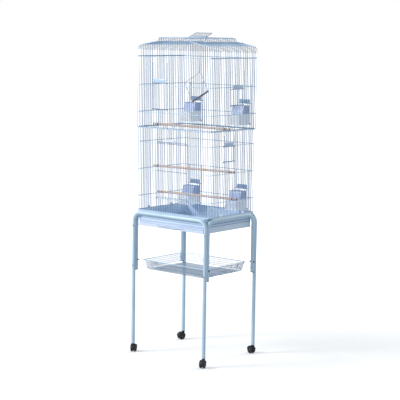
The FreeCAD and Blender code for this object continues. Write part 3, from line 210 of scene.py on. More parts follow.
def dress(piece, material, body, replaces):
    bpy.context.scene.collection.objects.link(piece)
    piece.data.materials.clear()
    piece.data.materials.append(material)
    piece.data.shade_smooth()
    piece.data.set_sharp_from_angle(angle=math.radians(38))
    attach(piece, body)
    if replaces:
        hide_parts(*replaces)
    return piece


def softened(node, name, material, body, width=0.0006, segments=3, reshape=None):
    """A copy of a CAD node with its hard edges rounded over."""
    mesh = bmesh.new()
    mesh.from_mesh(frame["nodes"][node].data)
    bmesh.ops.remove_doubles(mesh, verts=mesh.verts[:], dist=1e-6)
    bmesh.ops.dissolve_limit(mesh, angle_limit=math.radians(1), verts=mesh.verts[:], edges=mesh.edges[:])
    if reshape:
        reshape(mesh)
    data = bpy.data.meshes.new(name)
    mesh.to_mesh(data)
    mesh.free()
    piece = dress(bpy.data.objects.new(name, data), material, body, (node,))
    bevel = piece.modifiers.new("RoundedEdges", "BEVEL")
    bevel.width = width
    bevel.segments = segments
    bevel.limit_method = "ANGLE"
    bevel.angle_limit = math.radians(35)
    bevel.use_clamp_overlap = True
    return piece


def along_axis(point, direction):
    """A placement that turns Z to a direction and moves to a point."""
    return Matrix.Translation(point) @ Vector(direction).to_track_quat("Z", "Y").to_matrix().to_4x4()


def middle_of(node):
    low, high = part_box(node)
    return (low + high) / 2


# ---------------------------------------------------------------- materials

class Paint:
    """A Principled material and the nodes that vary it over the surface."""

    def __init__(self, name, roughness, **sockets):
        self.material = bpy.data.materials.new(name)
        self.material.use_nodes = True
        self.tree = self.material.node_tree
        self.shader = self.tree.nodes["Principled BSDF"]
        self.shader.inputs["Roughness"].default_value = roughness
        for socket, value in sockets.items():
            self.shader.inputs[socket.replace("_", " ")].default_value = value
        self.place = self.tree.nodes.new("ShaderNodeTexCoord").outputs["Object"]

    def node(self, kind, **settings):
        made = self.tree.nodes.new(kind)
        for key, value in settings.items():
            setattr(made, key, value)
        return made

    def link(self, source, target):
        self.tree.links.new(source, target)

    def stretched(self, x, y, z):
        """Object coordinates scaled by a different amount each way."""
        mapping = self.node("ShaderNodeMapping")
        mapping.inputs["Scale"].default_value = (x, y, z)
        self.link(self.place, mapping.inputs["Vector"])
        return mapping.outputs["Vector"]

    def noise(self, scale, detail=3.0, place=None, roughness=0.5):
        made = self.node("ShaderNodeTexNoise")
        made.inputs["Scale"].default_value = scale
        made.inputs["Detail"].default_value = detail
        made.inputs["Roughness"].default_value = roughness
        self.link(place or self.place, made.inputs["Vector"])
        return made.outputs["Fac"]

    def ramp(self, factor, stops):
        """A colour ramp; stops are (position, colour or grey)."""
        made = self.node("ShaderNodeValToRGB")
        while len(made.color_ramp.elements) < len(stops):
            made.color_ramp.elements.new(0.5)
        for element, (position, colour) in zip(made.color_ramp.elements, stops):
            element.position = position
            if not isinstance(colour, tuple):
                colour = (colour, colour, colour)
            element.color = (*colour, 1)
        self.link(factor, made.inputs["Fac"])
        return made.outputs["Color"]

    def mix(self, factor, first, second, blend="MIX"):
        made = self.node("ShaderNodeMix", data_type="RGBA", blend_type=blend)
        if isinstance(factor, float):
            made.inputs["Factor"].default_value = factor
        else:
            self.link(factor, made.inputs["Factor"])
        for socket, colour in ((made.inputs[6], first), (made.inputs[7], second)):
            if isinstance(colour, tuple):
                socket.default_value = (*colour, 1)
            else:
                self.link(colour, socket)
        return made.outputs[2]

    def colour(self, source):
        self.link(source, self.shader.inputs["Base Color"])

    def roughness(self, source):
        self.link(source, self.shader.inputs["Roughness"])

    def bump(self, *heights):
        """Stacks bumps given as (height source, distance)."""
        normal = None
        for height, distance in heights:
            made = self.node("ShaderNodeBump")
            made.inputs["Distance"].default_value = distance
            made.inputs["Strength"].default_value = 0.6
            self.link(height, made.inputs["Height"])
            if normal:
                self.link(normal, made.inputs["Normal"])
            normal = made.outputs["Normal"]
        self.link(normal, self.shader.inputs["Normal"])


def coated_paint(name, colour, dark, roughness=0.3, grain=900.0):
    """Powder coat: an orange-peel skin, faint clouding and a little grime in scattered specks."""
    paint = Paint(name, roughness, Coat_Weight=0.25, Coat_Roughness=0.2)
    cloud = paint.ramp(paint.noise(9.0, 4.0), [(0.35, dark), (0.62, colour)])
    specks = paint.ramp(paint.noise(420.0, 2.0), [(0.66, 0.0), (0.74, 0.35)])
    paint.colour(paint.mix(specks, cloud, dark))
    paint.roughness(paint.ramp(paint.noise(35.0), [(0.3, roughness - 0.06), (0.7, roughness + 0.12)]))
    paint.bump((paint.noise(grain, 2.0), 0.00012), (paint.noise(140.0, 2.0), 0.00008))
    return paint.material


def moulded_plastic(name, colour, dark, roughness, grain=1600.0, **sockets):
    """Injection-moulded plastic: fine spark grain, soft flow marks and handling scuffs."""
    paint = Paint(name, roughness, **sockets)
    flow = paint.ramp(paint.noise(6.0, 3.0, paint.stretched(1, 1, 2.5)), [(0.3, dark), (0.65, colour)])
    scuffs = paint.ramp(paint.noise(60.0, 5.0, paint.stretched(4, 1, 1)), [(0.6, 0.0), (0.8, 0.22)])
    paint.colour(paint.mix(scuffs, flow, tuple(0.9 * part for part in dark)))
    paint.roughness(paint.ramp(paint.noise(48.0), [(0.3, roughness - 0.05), (0.7, roughness + 0.14)]))
    paint.bump((paint.noise(grain, 2.0), 0.00006), (paint.noise(25.0, 2.0), 0.00025))
    return paint.material


def zinc_plate():
    paint = Paint("ZincPlate", 0.35, Metallic=1.0)
    paint.colour(paint.ramp(paint.noise(260.0, 4.0), [(0.3, (0.42, 0.44, 0.48)), (0.7, (0.68, 0.70, 0.74))]))
    paint.roughness(paint.ramp(paint.noise(500.0), [(0.3, 0.28), (0.7, 0.5)]))
    paint.bump((paint.noise(1200.0), 0.00005))
    return paint.material


def dowel_wood(name, pale, mid, dark):
    """Turned softwood: long grain along X, growth streaks and small dark flecks."""
    paint = Paint(name, 0.6)
    long_grain = paint.stretched(6, 160, 160)
    streaks = paint.noise(1.0, 6.0, long_grain, 0.65)
    grain = paint.ramp(streaks, [(0.32, dark), (0.45, mid), (0.68, pale)])
    flecks = paint.ramp(paint.noise(1.0, 3.0, paint.stretched(60, 900, 900)), [(0.66, 0.0), (0.72, 0.6)])
    blotch = paint.ramp(paint.noise(14.0, 3.0), [(0.4, 0.0), (0.75, 0.45)])
    toned = paint.mix(blotch, grain, mid)
    paint.colour(paint.mix(flecks, toned, dark))
    paint.roughness(paint.ramp(streaks, [(0.3, 0.72), (0.7, 0.5)]))
    paint.bump((streaks, 0.0003), (paint.noise(1.0, 2.0, paint.stretched(60, 1400, 1400)), 0.0001))
    return paint.material


TUBE_PAINT = coated_paint("TubePowderCoat", (0.60, 0.78, 0.93), (0.54, 0.72, 0.88))
# The wire coat is a much darker copy of the tube's powder coat: painted shade, so the thin uprights and the
# door and hatch wires read as shaded wire.
SHADED_WIRE_PAINT = coated_paint("WireCoatPaintedShade", (0.19, 0.31, 0.47), (0.13, 0.22, 0.36), 0.34, 1800.0)
BAR_PAINT = coated_paint("BarCoat", (0.58, 0.77, 0.93), (0.46, 0.65, 0.84), 0.32, 1500.0)
# The basket's coat is also darkened from the tube's paint: painted shade over its dense mesh down in the tub.
SHADED_MESH_PAINT = coated_paint("BasketCoatPaintedShade", (0.34, 0.44, 0.56), (0.24, 0.33, 0.44), 0.36, 1800.0)
# The roof wires' coat lies between the wall wires' and the bars': painted shade, lighter than on the walls.
SHADED_ROOF_PAINT = coated_paint("RoofWireCoat", (0.40, 0.55, 0.71), (0.28, 0.41, 0.57), 0.34, 1800.0)
TUB_PLASTIC = moulded_plastic("TubPlastic", (0.72, 0.87, 1.0), (0.64, 0.80, 0.98), 0.34)
TRAY_PLASTIC = moulded_plastic("TrayPlastic", (0.72, 0.82, 0.98), (0.64, 0.75, 0.94), 0.34)
# A darker blue plastic for the tub's mouldings and the tray's ribs and grip edge: painted shadow lines under
# the steps and in the grip's recess.
SHADE_LINE_PLASTIC = moulded_plastic("ShadeLinePlastic", (0.36, 0.48, 0.72), (0.30, 0.42, 0.66), 0.4)
# The cup plastic also glows faintly blue-white: painted light that brightens the feeder bowls, their lips and
# the base clips' heads.
GLOWING_CUP_PLASTIC = moulded_plastic("GlowingCupPlastic", (0.96, 0.98, 1.0), (0.92, 0.95, 1.0), 0.26,
                              Emission_Color=(0.80, 0.88, 1.0, 1), Emission_Strength=0.16)
HOOD_PLASTIC = moulded_plastic("HoodPlastic", (0.56, 0.66, 0.92), (0.50, 0.60, 0.88), 0.22)
CLIP_PLASTIC = moulded_plastic("ClipPlastic", (0.78, 0.84, 0.94), (0.70, 0.77, 0.90), 0.3)
TAB_PLASTIC = moulded_plastic("TabPlastic", (0.56, 0.70, 0.90), (0.50, 0.64, 0.85), 0.3)
BLACK_PLASTIC = moulded_plastic("BlackPlastic", (0.022, 0.022, 0.026), (0.014, 0.014, 0.017), 0.42)
WHEEL_PLASTIC = moulded_plastic("WheelPlastic", (0.030, 0.030, 0.033), (0.018, 0.018, 0.020), 0.5)
ZINC = zinc_plate()
PERCH_WOOD = dowel_wood("PerchWood", (1.0, 0.83, 0.71), (0.90, 0.69, 0.57), (0.58, 0.34, 0.25))
# Wood grain in very dark tones: the grain is real, the darkness is painted shade, for the swing's dowel and
# the bands over the perches' grooves.
SHADED_SWING_WOOD = dowel_wood("SwingWoodPaintedShade", (0.42, 0.33, 0.28), (0.20, 0.15, 0.14), (0.06, 0.045, 0.045))


# ---------------------------------------------------------------- stand

BEND = 0.045
EDGE = 0.0006
LEG_GROOVE = 0.020
GROOVE_STEP = 0.0005
GROOVE_DEPTH = 0.0004
LEG_SWAGE = ((0, -0.0014), (0.0009, -0.0004), (0.0016, 0.0010))
SCREW_HEAD = 0.003
HEAD_SIDE = 0.35
CROSS_REACH = 0.62
CROSS_HALF = 0.16
CROSS_LOW = 0.86
CROSS_TOP = 1.02
BOLT_SHANK = 0.0024
SCREW_SHANK = 0.00195
SHANK_SPARE = 0.0005
NUT_FACE = 0.8
NUT_CHAMFER = 0.0008
NUT_GAP = 0.0001
CAP_DOME = 0.002
CAP_BAND = 0.004
PLUG_INSET = 0.0015
PLUG_TAPER = 0.0001
SOCKET_BORE = 0.0045
SOCKET_LIP = 0.002


def build_stand():
    for side in ("front", "back", "left", "right"):
        build_hoop(side)
    for name in CORNERS:
        build_leg(name)


def build_hoop(side):
    """A tube bent over the top of one side of the stand."""
    node = f"stand_{side}_frame"
    low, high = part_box(node)
    across = side in ("front", "back")
    radius = (high.y - low.y) / 2 if across else (high.x - low.x) / 2
    depth = (low.y + high.y) / 2 if across else (low.x + high.x) / 2
    reach = (high.x if across else high.y) - radius
    top = high.z - radius
    outline = [(-reach, low.z), (-reach, top), (reach, top), (reach, low.z)]
    corners = [Vector((u, depth, z)) if across else Vector((depth, u, z)) for u, z in outline]
    bag = Bag()
    wire(bag, rounded(corners, BEND, 14), radius, 32)
    make_piece(f"stand_hoop_{side}", bag, TUBE_PAINT, ROOT, (node,))


def build_leg(name):
    """A lower leg, with a groove near its foot and an end swaged in where it meets the hoop."""
    node = f"lower_leg_{name}"
    low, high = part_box(node)
    centre = middle_of(node)
    radius = (high.x - low.x) / 2
    groove = low.z + LEG_GROOVE
    floor = radius - GROOVE_DEPTH
    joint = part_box("stand_front_frame")[0].z
    profile = [(0, low.z), (radius - EDGE, low.z), (radius, low.z + EDGE),
               (radius, groove), (floor, groove + GROOVE_STEP),
               (floor, groove + 3 * GROOVE_STEP), (radius, groove + 4 * GROOVE_STEP)]
    profile += [(radius - inset, joint + rise) for inset, rise in LEG_SWAGE]
    profile.append((0, profile[-1][1]))
    bag = Bag()
    lathe(bag, profile, Matrix.Translation((centre.x, centre.y, 0)), 40)
    make_piece(f"leg_{name}", bag, TUBE_PAINT, ROOT, (node,))


def screw_head(bag, place, radius, height):
    """A domed head with a cross recess, its face along the placement's Z."""
    rows = 6
    rings = []
    for i in range(rows):
        angle = math.radians(90) * i / rows
        rise = HEAD_SIDE + (1 - HEAD_SIDE) * math.sin(angle)
        rings.append((radius * math.cos(angle), height * rise))
    lathe(bag, [(0, 0), (radius, 0)] + rings + [(0, height)], place, 24)
    arm = CROSS_REACH * radius
    width = CROSS_HALF * radius
    for turn in (0, 90):
        spin = place @ Matrix.Rotation(math.radians(turn), 4, "Z")
        block(bag, (-arm, -width, height * CROSS_LOW), (arm, width, height * CROSS_TOP), 0.0001, 1, spin)


def solid_boxes(node):
    """The corners of each separate solid of a node, from left to right."""
    mesh = bmesh.new()
    mesh.from_mesh(frame["nodes"][node].data)
    bmesh.ops.remove_doubles(mesh, verts=mesh.verts[:], dist=1e-6)
    seen = set()
    boxes = []
    for vert in mesh.verts:
        if vert in seen:
            continue
        island = [vert]
        seen.add(vert)
        for member in island:
            for edge in member.link_edges:
                other = edge.other_vert(member)
                if other not in seen:
                    seen.add(other)
                    island.append(other)
        low = Vector([min(member.co[i] for member in island) for i in range(3)])
        high = Vector([max(member.co[i] for member in island) for i in range(3)])
        boxes.append((low, high))
    mesh.free()
    return sorted(boxes, key=lambda pair: tuple(round(part, 4) for part in pair[0]))


def build_fasteners():
    build_screws("frame_bolts", ZINC, 1, BOLT_SHANK)
    build_screws("basket_screws", BLACK_PLASTIC, 0, SCREW_SHANK)
    build_nuts()
    build_turned("frame_end_caps", end_cap_profile)
    build_turned("caster_sockets", socket_profile)


def build_screws(node, material, axis, shank):
    """Domed screws along an axis, with their heads away from the middle of the stand."""
    bag = Bag()
    for low, high in solid_boxes(node):
        face = (low + high) / 2
        outward = math.copysign(1, face[axis])
        direction = Vector((0, 0, 0))
        direction[axis] = outward
        face[axis] = high[axis] if outward > 0 else low[axis]
        neck = face - direction * SCREW_HEAD
        tip = face - direction * (high[axis] - low[axis] - SHANK_SPARE)
        screw_head(bag, along_axis(neck, direction), (high.z - low.z) / 2, SCREW_HEAD)
        wire(bag, [neck, tip], shank, 16)
    make_piece(node + "_detailed", bag, material, ROOT, (node,))


def build_nuts():
    """Chamfered six-sided nuts on the inner ends of the bolts."""
    bag = Bag()
    quarter = Matrix.Rotation(math.radians(90), 4, "Z")
    for low, high in solid_boxes("frame_nuts"):
        middle = (low + high) / 2
        reach = (high.x - low.x) / 2
        thick = high.y - low.y
        place = along_axis(Vector((middle.x, low.y, middle.z)), (0, 1, 0)) @ quarter
        lathe(bag, [(0, NUT_GAP), (NUT_FACE * reach, NUT_GAP), (reach, NUT_CHAMFER),
                    (reach, thick - NUT_CHAMFER), (NUT_FACE * reach, thick - NUT_GAP),
                    (0, thick - NUT_GAP)], place, 6)
    make_piece("frame_nuts_detailed", bag, ZINC, ROOT, ("frame_nuts",))


def build_turned(node, profile):
    """A turned plastic part in the place of each solid of a node."""
    bag = Bag()
    for low, high in solid_boxes(node):
        middle = (low + high) / 2
        outline = profile((high.x - low.x) / 2, high.z - low.z)
        lathe(bag, outline, Matrix.Translation((middle.x, middle.y, low.z)), 32)
    make_piece(node + "_detailed", bag, BLACK_PLASTIC, ROOT, (node,))


def end_cap_profile(radius, height):
    """A domed cap under the tube and a plug up inside it."""
    plug = radius - PLUG_INSET
    return [(0, 0), (radius - CAP_DOME, 0), (radius - EDGE, EDGE), (radius, CAP_DOME), (radius, CAP_BAND),
            (plug, CAP_BAND), (plug - PLUG_TAPER, height), (0, height)]


def socket_profile(radius, height):
    """A bored plug that a caster's stem turns in, with a lip under the leg."""
    plug = radius - PLUG_INSET - PLUG_TAPER
    return [(SOCKET_BORE, 0), (radius - EDGE, 0), (radius, EDGE), (radius, SOCKET_LIP),
            (plug, SOCKET_LIP + PLUG_TAPER), (plug - PLUG_TAPER, height), (SOCKET_BORE, height),
            (SOCKET_BORE, 0)]


# ---------------------------------------------------------------- casters

AXLE_HALF = 0.0130
AXLE_RADIUS = 0.0024
AXLE_CHAMFER = 0.0005
WHEEL_INNER = 0.0035
WHEEL_WIDTH = 0.010
WHEEL_BORE = 0.0026
BORE_CHAMFER = 0.0006
TREAD_SHOULDER = 0.0028
TREAD_CROWN = 0.0002
SPOKES = 6
SPOKE_HALF = 0.0007
SPOKE_START = 0.28
SPOKE_END = 0.67
SPOKE_LOW = 0.0025
SPOKE_TOP = 0.0006
# Wheel faces, as (share of the radius, depth below the face).
INNER_FACE = ((0.62, 0), (0.66, 0.0006), (0.90, 0.0006), (0.97, 0.0012))
OUTER_FACE = ((0.97, 0.0012), (0.92, 0.0004), (0.86, 0), (0.70, 0), (0.66, 0.0005), (0.62, 0.0020),
              (0.36, 0.0020), (0.31, 0.0004), (0.26, 0))
HOOD_GAP = 0.0025
HOOD_HALF = 0.0135
HOOD_WALL = 0.0010
HOOD_SKIRT = 0.003
# Edge of the hood, as (inset from its side, depth below its crown).
HOOD_EDGE = ((0, 0.0018), (0.0004, 0.0005), (0.0016, 0))
HOOD_ARC = (-8, 188)
WEB_ARC = (-22, 202)
WEB_HALF = 0.0030
WEB_FLOOR = -0.008
WEB_INSET = 0.0006
ARC_STEPS = 40
BOSS_LOW = 0.014
BOSS_TOP = 0.0457
BOSS_GAP = 0.0002
BOSS_EDGE = 0.0010
BOSS_RADIUS = 0.0080
STEM_RADIUS = 0.0040
STEM_LENGTH = 0.0260
STEM_CHAMFER = 0.0005


def build_casters():
    for name in CORNERS:
        axle = Vector(JOINTS[f"wheel_spin_{name}"]["pos_m"])
        across = Vector(JOINTS[f"wheel_spin_{name}"]["axis"]).normalized()
        stem = Vector(JOINTS[f"caster_swivel_{name}"]["pos_m"])
        forward = Vector((axle.x - stem.x, axle.y - stem.y, 0))
        trail = forward.length
        forward.normalize()
        place = Matrix((
            (across.x, forward.x, 0, axle.x),
            (across.y, forward.y, 0, axle.y),
            (0, 0, 1, axle.z),
            (0, 0, 0, 1)))
        build_wheels(name, place, axle.z)
        build_fork(name, place, axle.z, trail)
        build_axle(name, place)


def build_axle(name, place):
    bag = Bag()
    end = AXLE_RADIUS - AXLE_CHAMFER
    neck = AXLE_HALF - AXLE_CHAMFER
    lathe(bag, [(0, -AXLE_HALF), (end, -AXLE_HALF), (AXLE_RADIUS, -neck), (AXLE_RADIUS, neck),
                (end, AXLE_HALF), (0, AXLE_HALF)], place @ Matrix.Rotation(math.radians(90), 4, "Y"), 24)
    make_piece(f"axle_{name}", bag, ZINC, f"caster_swivel_{name}", (f"caster_axle_{name}",))


def build_wheels(name, place, radius):
    """Two wheels, each with a crowned tread, a rim step and a dished, spoked outer face."""
    bag = Bag()
    inner = WHEEL_INNER
    outer = inner + WHEEL_WIDTH
    profile = [(WHEEL_BORE, inner)] + [(share * radius, inner + depth) for share, depth in INNER_FACE]
    profile += [(radius - TREAD_CROWN, inner + TREAD_SHOULDER), (radius, (inner + outer) / 2),
                (radius - TREAD_CROWN, outer - TREAD_SHOULDER)]
    profile += [(share * radius, outer - depth) for share, depth in OUTER_FACE]
    profile += [(WHEEL_BORE + BORE_CHAMFER, outer), (WHEEL_BORE, outer - BORE_CHAMFER), (WHEEL_BORE, inner)]
    for side in (-1, 1):
        turn = place @ Matrix.Rotation(math.radians(90 * side), 4, "Y")
        lathe(bag, profile, turn, 48)
        for k in range(SPOKES):
            spoke = turn @ Matrix.Rotation(2 * math.pi * k / SPOKES, 4, "Z")
            block(bag, (SPOKE_START * radius, -SPOKE_HALF, outer - SPOKE_LOW),
                  (SPOKE_END * radius, SPOKE_HALF, outer - SPOKE_TOP), 0.0003, 2, spoke)
    body = f"caster_wheels_{name}"
    make_piece(f"wheels_{name}", bag, WHEEL_PLASTIC, body, (body,))


def arc_angles(ends):
    """Even angles, in radians, between two ends in degrees."""
    start, stop = ends
    return [math.radians(start + (stop - start) * i / ARC_STEPS) for i in range(ARC_STEPS + 1)]


def build_fork(name, place, radius, trail):
    """The black hood over both wheels, its web between them and the stem on its boss."""
    bag = Bag()
    add_hood(bag, place, radius + HOOD_GAP)
    add_web(bag, place, radius + HOOD_GAP - WEB_INSET)
    add_stem(bag, place @ Matrix.Translation((0, -trail, 0)), BOSS_TOP - radius)
    make_piece(f"caster_hood_{name}", bag, BLACK_PLASTIC, f"caster_swivel_{name}",
               (f"caster_fork_{name}",))


def add_hood(bag, place, reach):
    """A curved shell with rounded edges, cut off level at its skirt."""
    left = [(inset - HOOD_HALF, -depth) for inset, depth in HOOD_EDGE]
    right = [(-x, depth) for x, depth in reversed(left)]
    inside = HOOD_HALF - HOOD_WALL
    section = left + right + [(inside, left[0][1]), (-inside, left[0][1])]
    points = []
    for angle in arc_angles(HOOD_ARC):
        for x, rise in section:
            height = max((reach + rise) * math.sin(angle), HOOD_SKIRT)
            points.append(place @ Vector((x, (reach + rise) * math.cos(angle), height)))
    count = len(section)
    faces = []
    for row in range(0, ARC_STEPS * count, count):
        for k in range(count):
            after = (k + 1) % count
            faces.append((row + k, row + after, row + count + after, row + count + k))
    faces.append(tuple(range(count)))
    faces.append(tuple(reversed(range(ARC_STEPS * count, (ARC_STEPS + 1) * count))))
    bag.add(points, faces)


def add_web(bag, place, reach):
    """The solid web between the wheels, cut off level under the axle."""
    web = [(reach * math.cos(angle), max(WEB_FLOOR, reach * math.sin(angle)))
           for angle in arc_angles(WEB_ARC)]
    count = len(web)
    faces = [tuple(reversed(range(count))), tuple(range(count, 2 * count))]
    faces += [(k, (k + 1) % count, count + (k + 1) % count, count + k) for k in range(count)]
    bag.add([place @ Vector((x, y, z)) for x in (-WEB_HALF, WEB_HALF) for y, z in web], faces)


def add_stem(bag, place, top):
    """A round boss whose top is at the given height, and the stem above it."""
    tip = top + STEM_LENGTH
    shoulder = top - BOSS_GAP
    lathe(bag, [(0, BOSS_LOW), (BOSS_RADIUS - BOSS_GAP, BOSS_LOW), (BOSS_RADIUS, BOSS_LOW + BOSS_EDGE),
                (BOSS_RADIUS, shoulder - BOSS_EDGE), (BOSS_RADIUS - BOSS_EDGE, shoulder),
                (STEM_RADIUS, shoulder), (STEM_RADIUS, tip - STEM_CHAMFER),
                (STEM_RADIUS - EDGE, tip), (0, tip)], place, 32)


# ---------------------------------------------------------------- basket

RIM_X = 0.215
RIM_Y = 0.169
RIM_DROP = 0.0055
RIM_WIRE = 0.0021
RIM_BEND = 0.018
HOOK_START = 0.004
FLOOR_RISE = 0.0054
FOOT_RISE = 0.0105
FOOT_WIRE = 0.0014
BASKET_TAPER = 0.012
BASKET_PITCH = 0.0135
BASKET_BEND = 0.016
BOTTOM_INSET = 0.004
TOP_INSET = 0.012
MESH_BEND = 0.014
CROSS_RISE = 1.7 * WIRE
MESH_WIRE = 0.95 * WIRE
SIDE_WIRE = 0.85 * WIRE
RUNNER_DROP = 0.0022
RUNNER_INSET = 0.005
EYE_PLANE = 0.2270
EYE_REACH = 0.0033
EYE_WIRE = 0.00115


def build_basket():
    """Fine wires bent down, round and across, hung in a thick rim with hooks at its corners."""
    low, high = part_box("basket")
    rim_z = high.z - RIM_DROP
    floor_z = low.z + FLOOR_RISE
    build_basket_mesh(rim_z, floor_z)
    build_basket_rims(rim_z, floor_z)


def build_basket_mesh(rim_z, floor_z):
    """Wires across the floor and up both sides, upright wires between them, and level bands."""
    bag = Bag()
    rim = (RIM_X, RIM_Y)
    floor = (RIM_X - BASKET_TAPER, RIM_Y - BASKET_TAPER)
    foot_z = floor_z + FOOT_RISE
    for axis in (0, 1):
        across = 1 - axis

        def at(spread, out, z):
            return Vector((spread, out, z) if axis == 0 else (out, spread, z))

        bottom = floor_z + axis * CROSS_RISE
        count = round(2 * floor[axis] / BASKET_PITCH)
        for i in range(1, count):
            share = 2 * i / count - 1
            at_floor = share * (floor[axis] - BOTTOM_INSET)
            at_rim = share * (rim[axis] - TOP_INSET)
            route = [at(at_rim, -rim[across], rim_z), at(at_floor, -floor[across], bottom),
                     at(at_floor, floor[across], bottom), at(at_rim, rim[across], rim_z)]
            wire(bag, rounded(route, MESH_BEND, 5), MESH_WIRE, 6)
            shift = BASKET_PITCH / 2
            for end in (-1, 1):
                wire(bag, [at(at_rim + shift, end * rim[across], rim_z),
                           at(at_floor + shift, end * floor[across], foot_z)], SIDE_WIRE, 6)
    for share in (0.25, 0.5, 0.75):
        spread = share * BASKET_TAPER
        band = rectangle(floor[0] + spread, floor[1] + spread, foot_z + share * (rim_z - foot_z))
        wire(bag, rounded(band, BASKET_BEND, 6, True), SIDE_WIRE, 6, True)
    # The basket's wires take the darkened coat: painted shade.
    make_piece("basket_wirework", bag, SHADED_MESH_PAINT, ROOT, ("basket",))


def build_basket_rims(rim_z, floor_z):
    """The thick rim, the ring at the foot, three runners under the floor and the screw eyes."""
    bag = Bag()
    floor_x = RIM_X - BASKET_TAPER
    floor_y = RIM_Y - BASKET_TAPER
    wire(bag, rounded(rectangle(RIM_X, RIM_Y, rim_z), RIM_BEND, 8, True), RIM_WIRE, 12, True)
    foot = rectangle(floor_x, floor_y, floor_z + FOOT_RISE)
    wire(bag, rounded(foot, BASKET_BEND, 8, True), FOOT_WIRE, 10, True)
    for share in (-0.5, 0, 0.5):
        ends = [Vector((sign * (floor_x - RUNNER_INSET), share * floor_y, floor_z - RUNNER_DROP))
                for sign in (-1, 1)]
        wire(bag, ends, FOOT_WIRE, 10)
    for low, high in solid_boxes("basket_screws"):
        middle = (low + high) / 2
        sx = math.copysign(1, middle.x)
        sy = math.copysign(1, middle.y)
        centre = Vector((sx * EYE_PLANE, middle.y, middle.z))
        wire(bag, circle(centre, Y, Z, EYE_REACH, 20), EYE_WIRE, 8, True)
        start = Vector((sx * (RIM_X - HOOK_START), sy * (RIM_Y - HOOK_START), rim_z))
        wire(bag, [start, centre - Y * (sy * EYE_REACH)], EYE_WIRE, 8)
    make_piece("basket_rims", bag, BAR_PAINT, ROOT, ("basket",))


# ---------------------------------------------------------------- walls and doors

FRONT_GAPS = 40
SIDE_GAPS = 30
LOWER_BANDS = (0.073, 0.214, 0.356)
UPPER_BANDS = (0.083, 0.222)
UPPER_RING = 0.002
RING = 0.0020
POST = 0.0017
UPRIGHT = 0.00115
TOP_GAP = 0.0008
DOOR_OUT = 0.008
EYE = 0.00315
EYE_COIL = 0.00075
HINGE_COIL = 0.0008
COIL_PITCH = 1.302
EYE_GAP = 0.0002
GUIDE = 0.00125
GUIDE_BEND = 0.003
OVERRUN = 0.006
SILL_GAP = 0.0005
WAY_EDGE = 0.002
RAIL_GAP = 0.0010
DOOR_WIRE_INSET = 0.0012
TAB_HEIGHT = 0.020
TAB_HALF = 0.0007
TAB_GAP = 0.0001
TAB_INSET = 0.1
TAB_EDGE = 0.00065
TAB_RIDGE = 0.0006
TAB_RIDGE_SHARE = 0.3
TAB_PITCH = 0.004
MAIN_DOOR_GAP = 0.003
MAIN_DOOR_INSET = 0.002
MAIN_DOOR_FOOT = 0.0065
MAIN_DOOR_BEND = 0.008
MAIN_DOOR_WIRE_GAP = 0.0005
HINGE_STUB = (0.0025, 0.015)
CLIP_FOOT = 0.006
CLIP_ROUND = 0.0012
CLIP_SHOULDER = 0.006
CLIP_GRIP_LOW = 0.004
CLIP_GRIP_ROUND = 0.0014
CLIP_RIDGES = 5
CLIP_RIDGE_LOW = 0.007
CLIP_RIDGE_DROP = 0.0018
CLIP_PITCH = 0.007
CLIP_RIDGE_START = 0.015
CLIP_RIDGE_HALF = 0.0008


class Face:
    """One wall: u runs along it, n outward from its wires, z up."""

    def __init__(self, section, side):
        self.node = f"{section}_{side}_wall"
        self.across = side in ("front", "back")
        self.sign = -1 if side in ("front", "left") else 1
        self.along, self.out = (X, Y * self.sign) if self.across else (Y, X * self.sign)
        self.plane = plane_of(section, side)
        self.half = plane_of(section, "right" if self.across else "back")
        self.gaps = FRONT_GAPS if self.across else SIDE_GAPS
        self.pitch = 2 * self.half / self.gaps
        self.low, self.high = (corner.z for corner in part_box(self.node))

    def point(self, u, n, z):
        depth = self.sign * (self.plane + n)
        return Vector((u, depth, z)) if self.across else Vector((depth, u, z))

    def rod(self, bag, first, second, radius, sides=8):
        wire(bag, [self.point(*first), self.point(*second)], radius, sides)

    def staple(self, bag, ends, out, radius, sides):
        """A wire between two (u, z) ends that stands off the wall, bent back to it at both."""
        (u, z), (other_u, other_z) = ends
        corners = [self.point(u, 0, z), self.point(u, out, z), self.point(other_u, out, other_z),
                   self.point(other_u, 0, other_z)]
        wire(bag, rounded(corners, GUIDE_BEND, 5), radius, sides)


def plane_of(section, side):
    """Distance of a wall's wires from the middle, from the inner face of its CAD node."""
    low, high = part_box(f"{section}_{side}_wall")
    inner = {"front": -high.y, "back": low.y, "left": -high.x, "right": low.x}[side]
    return inner + WIRE


class Way:
    """A doorway in a wall: its door, its edges and how far the door lifts."""

    def __init__(self, door, left, right, low, top, travel=0):
        self.door = door
        self.left = left
        self.right = right
        self.low = low
        self.top = top
        self.travel = travel

    def covers(self, u):
        return self.left + WAY_EDGE < u < self.right - WAY_EDGE


def lifting_way(face, door, joint):
    """The doorway behind a lifting door, from the door's box."""
    low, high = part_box(door)
    across = (low.x, high.x) if face.across else (low.y, high.y)
    return Way(door, across[0] + EYE, across[1] - EYE, low.z + SILL_GAP, high.z - TAB_HEIGHT - 2 * BAR,
               JOINTS[joint]["range_m"][1])


def free_spans(low, high, gaps):
    """The stretches of low..high outside the gaps."""
    spans = []
    start = low
    for gap_low, gap_high in sorted(gaps):
        if gap_low > start:
            spans.append((start, gap_low))
        start = max(start, gap_high)
    if high > start:
        spans.append((start, high))
    return spans


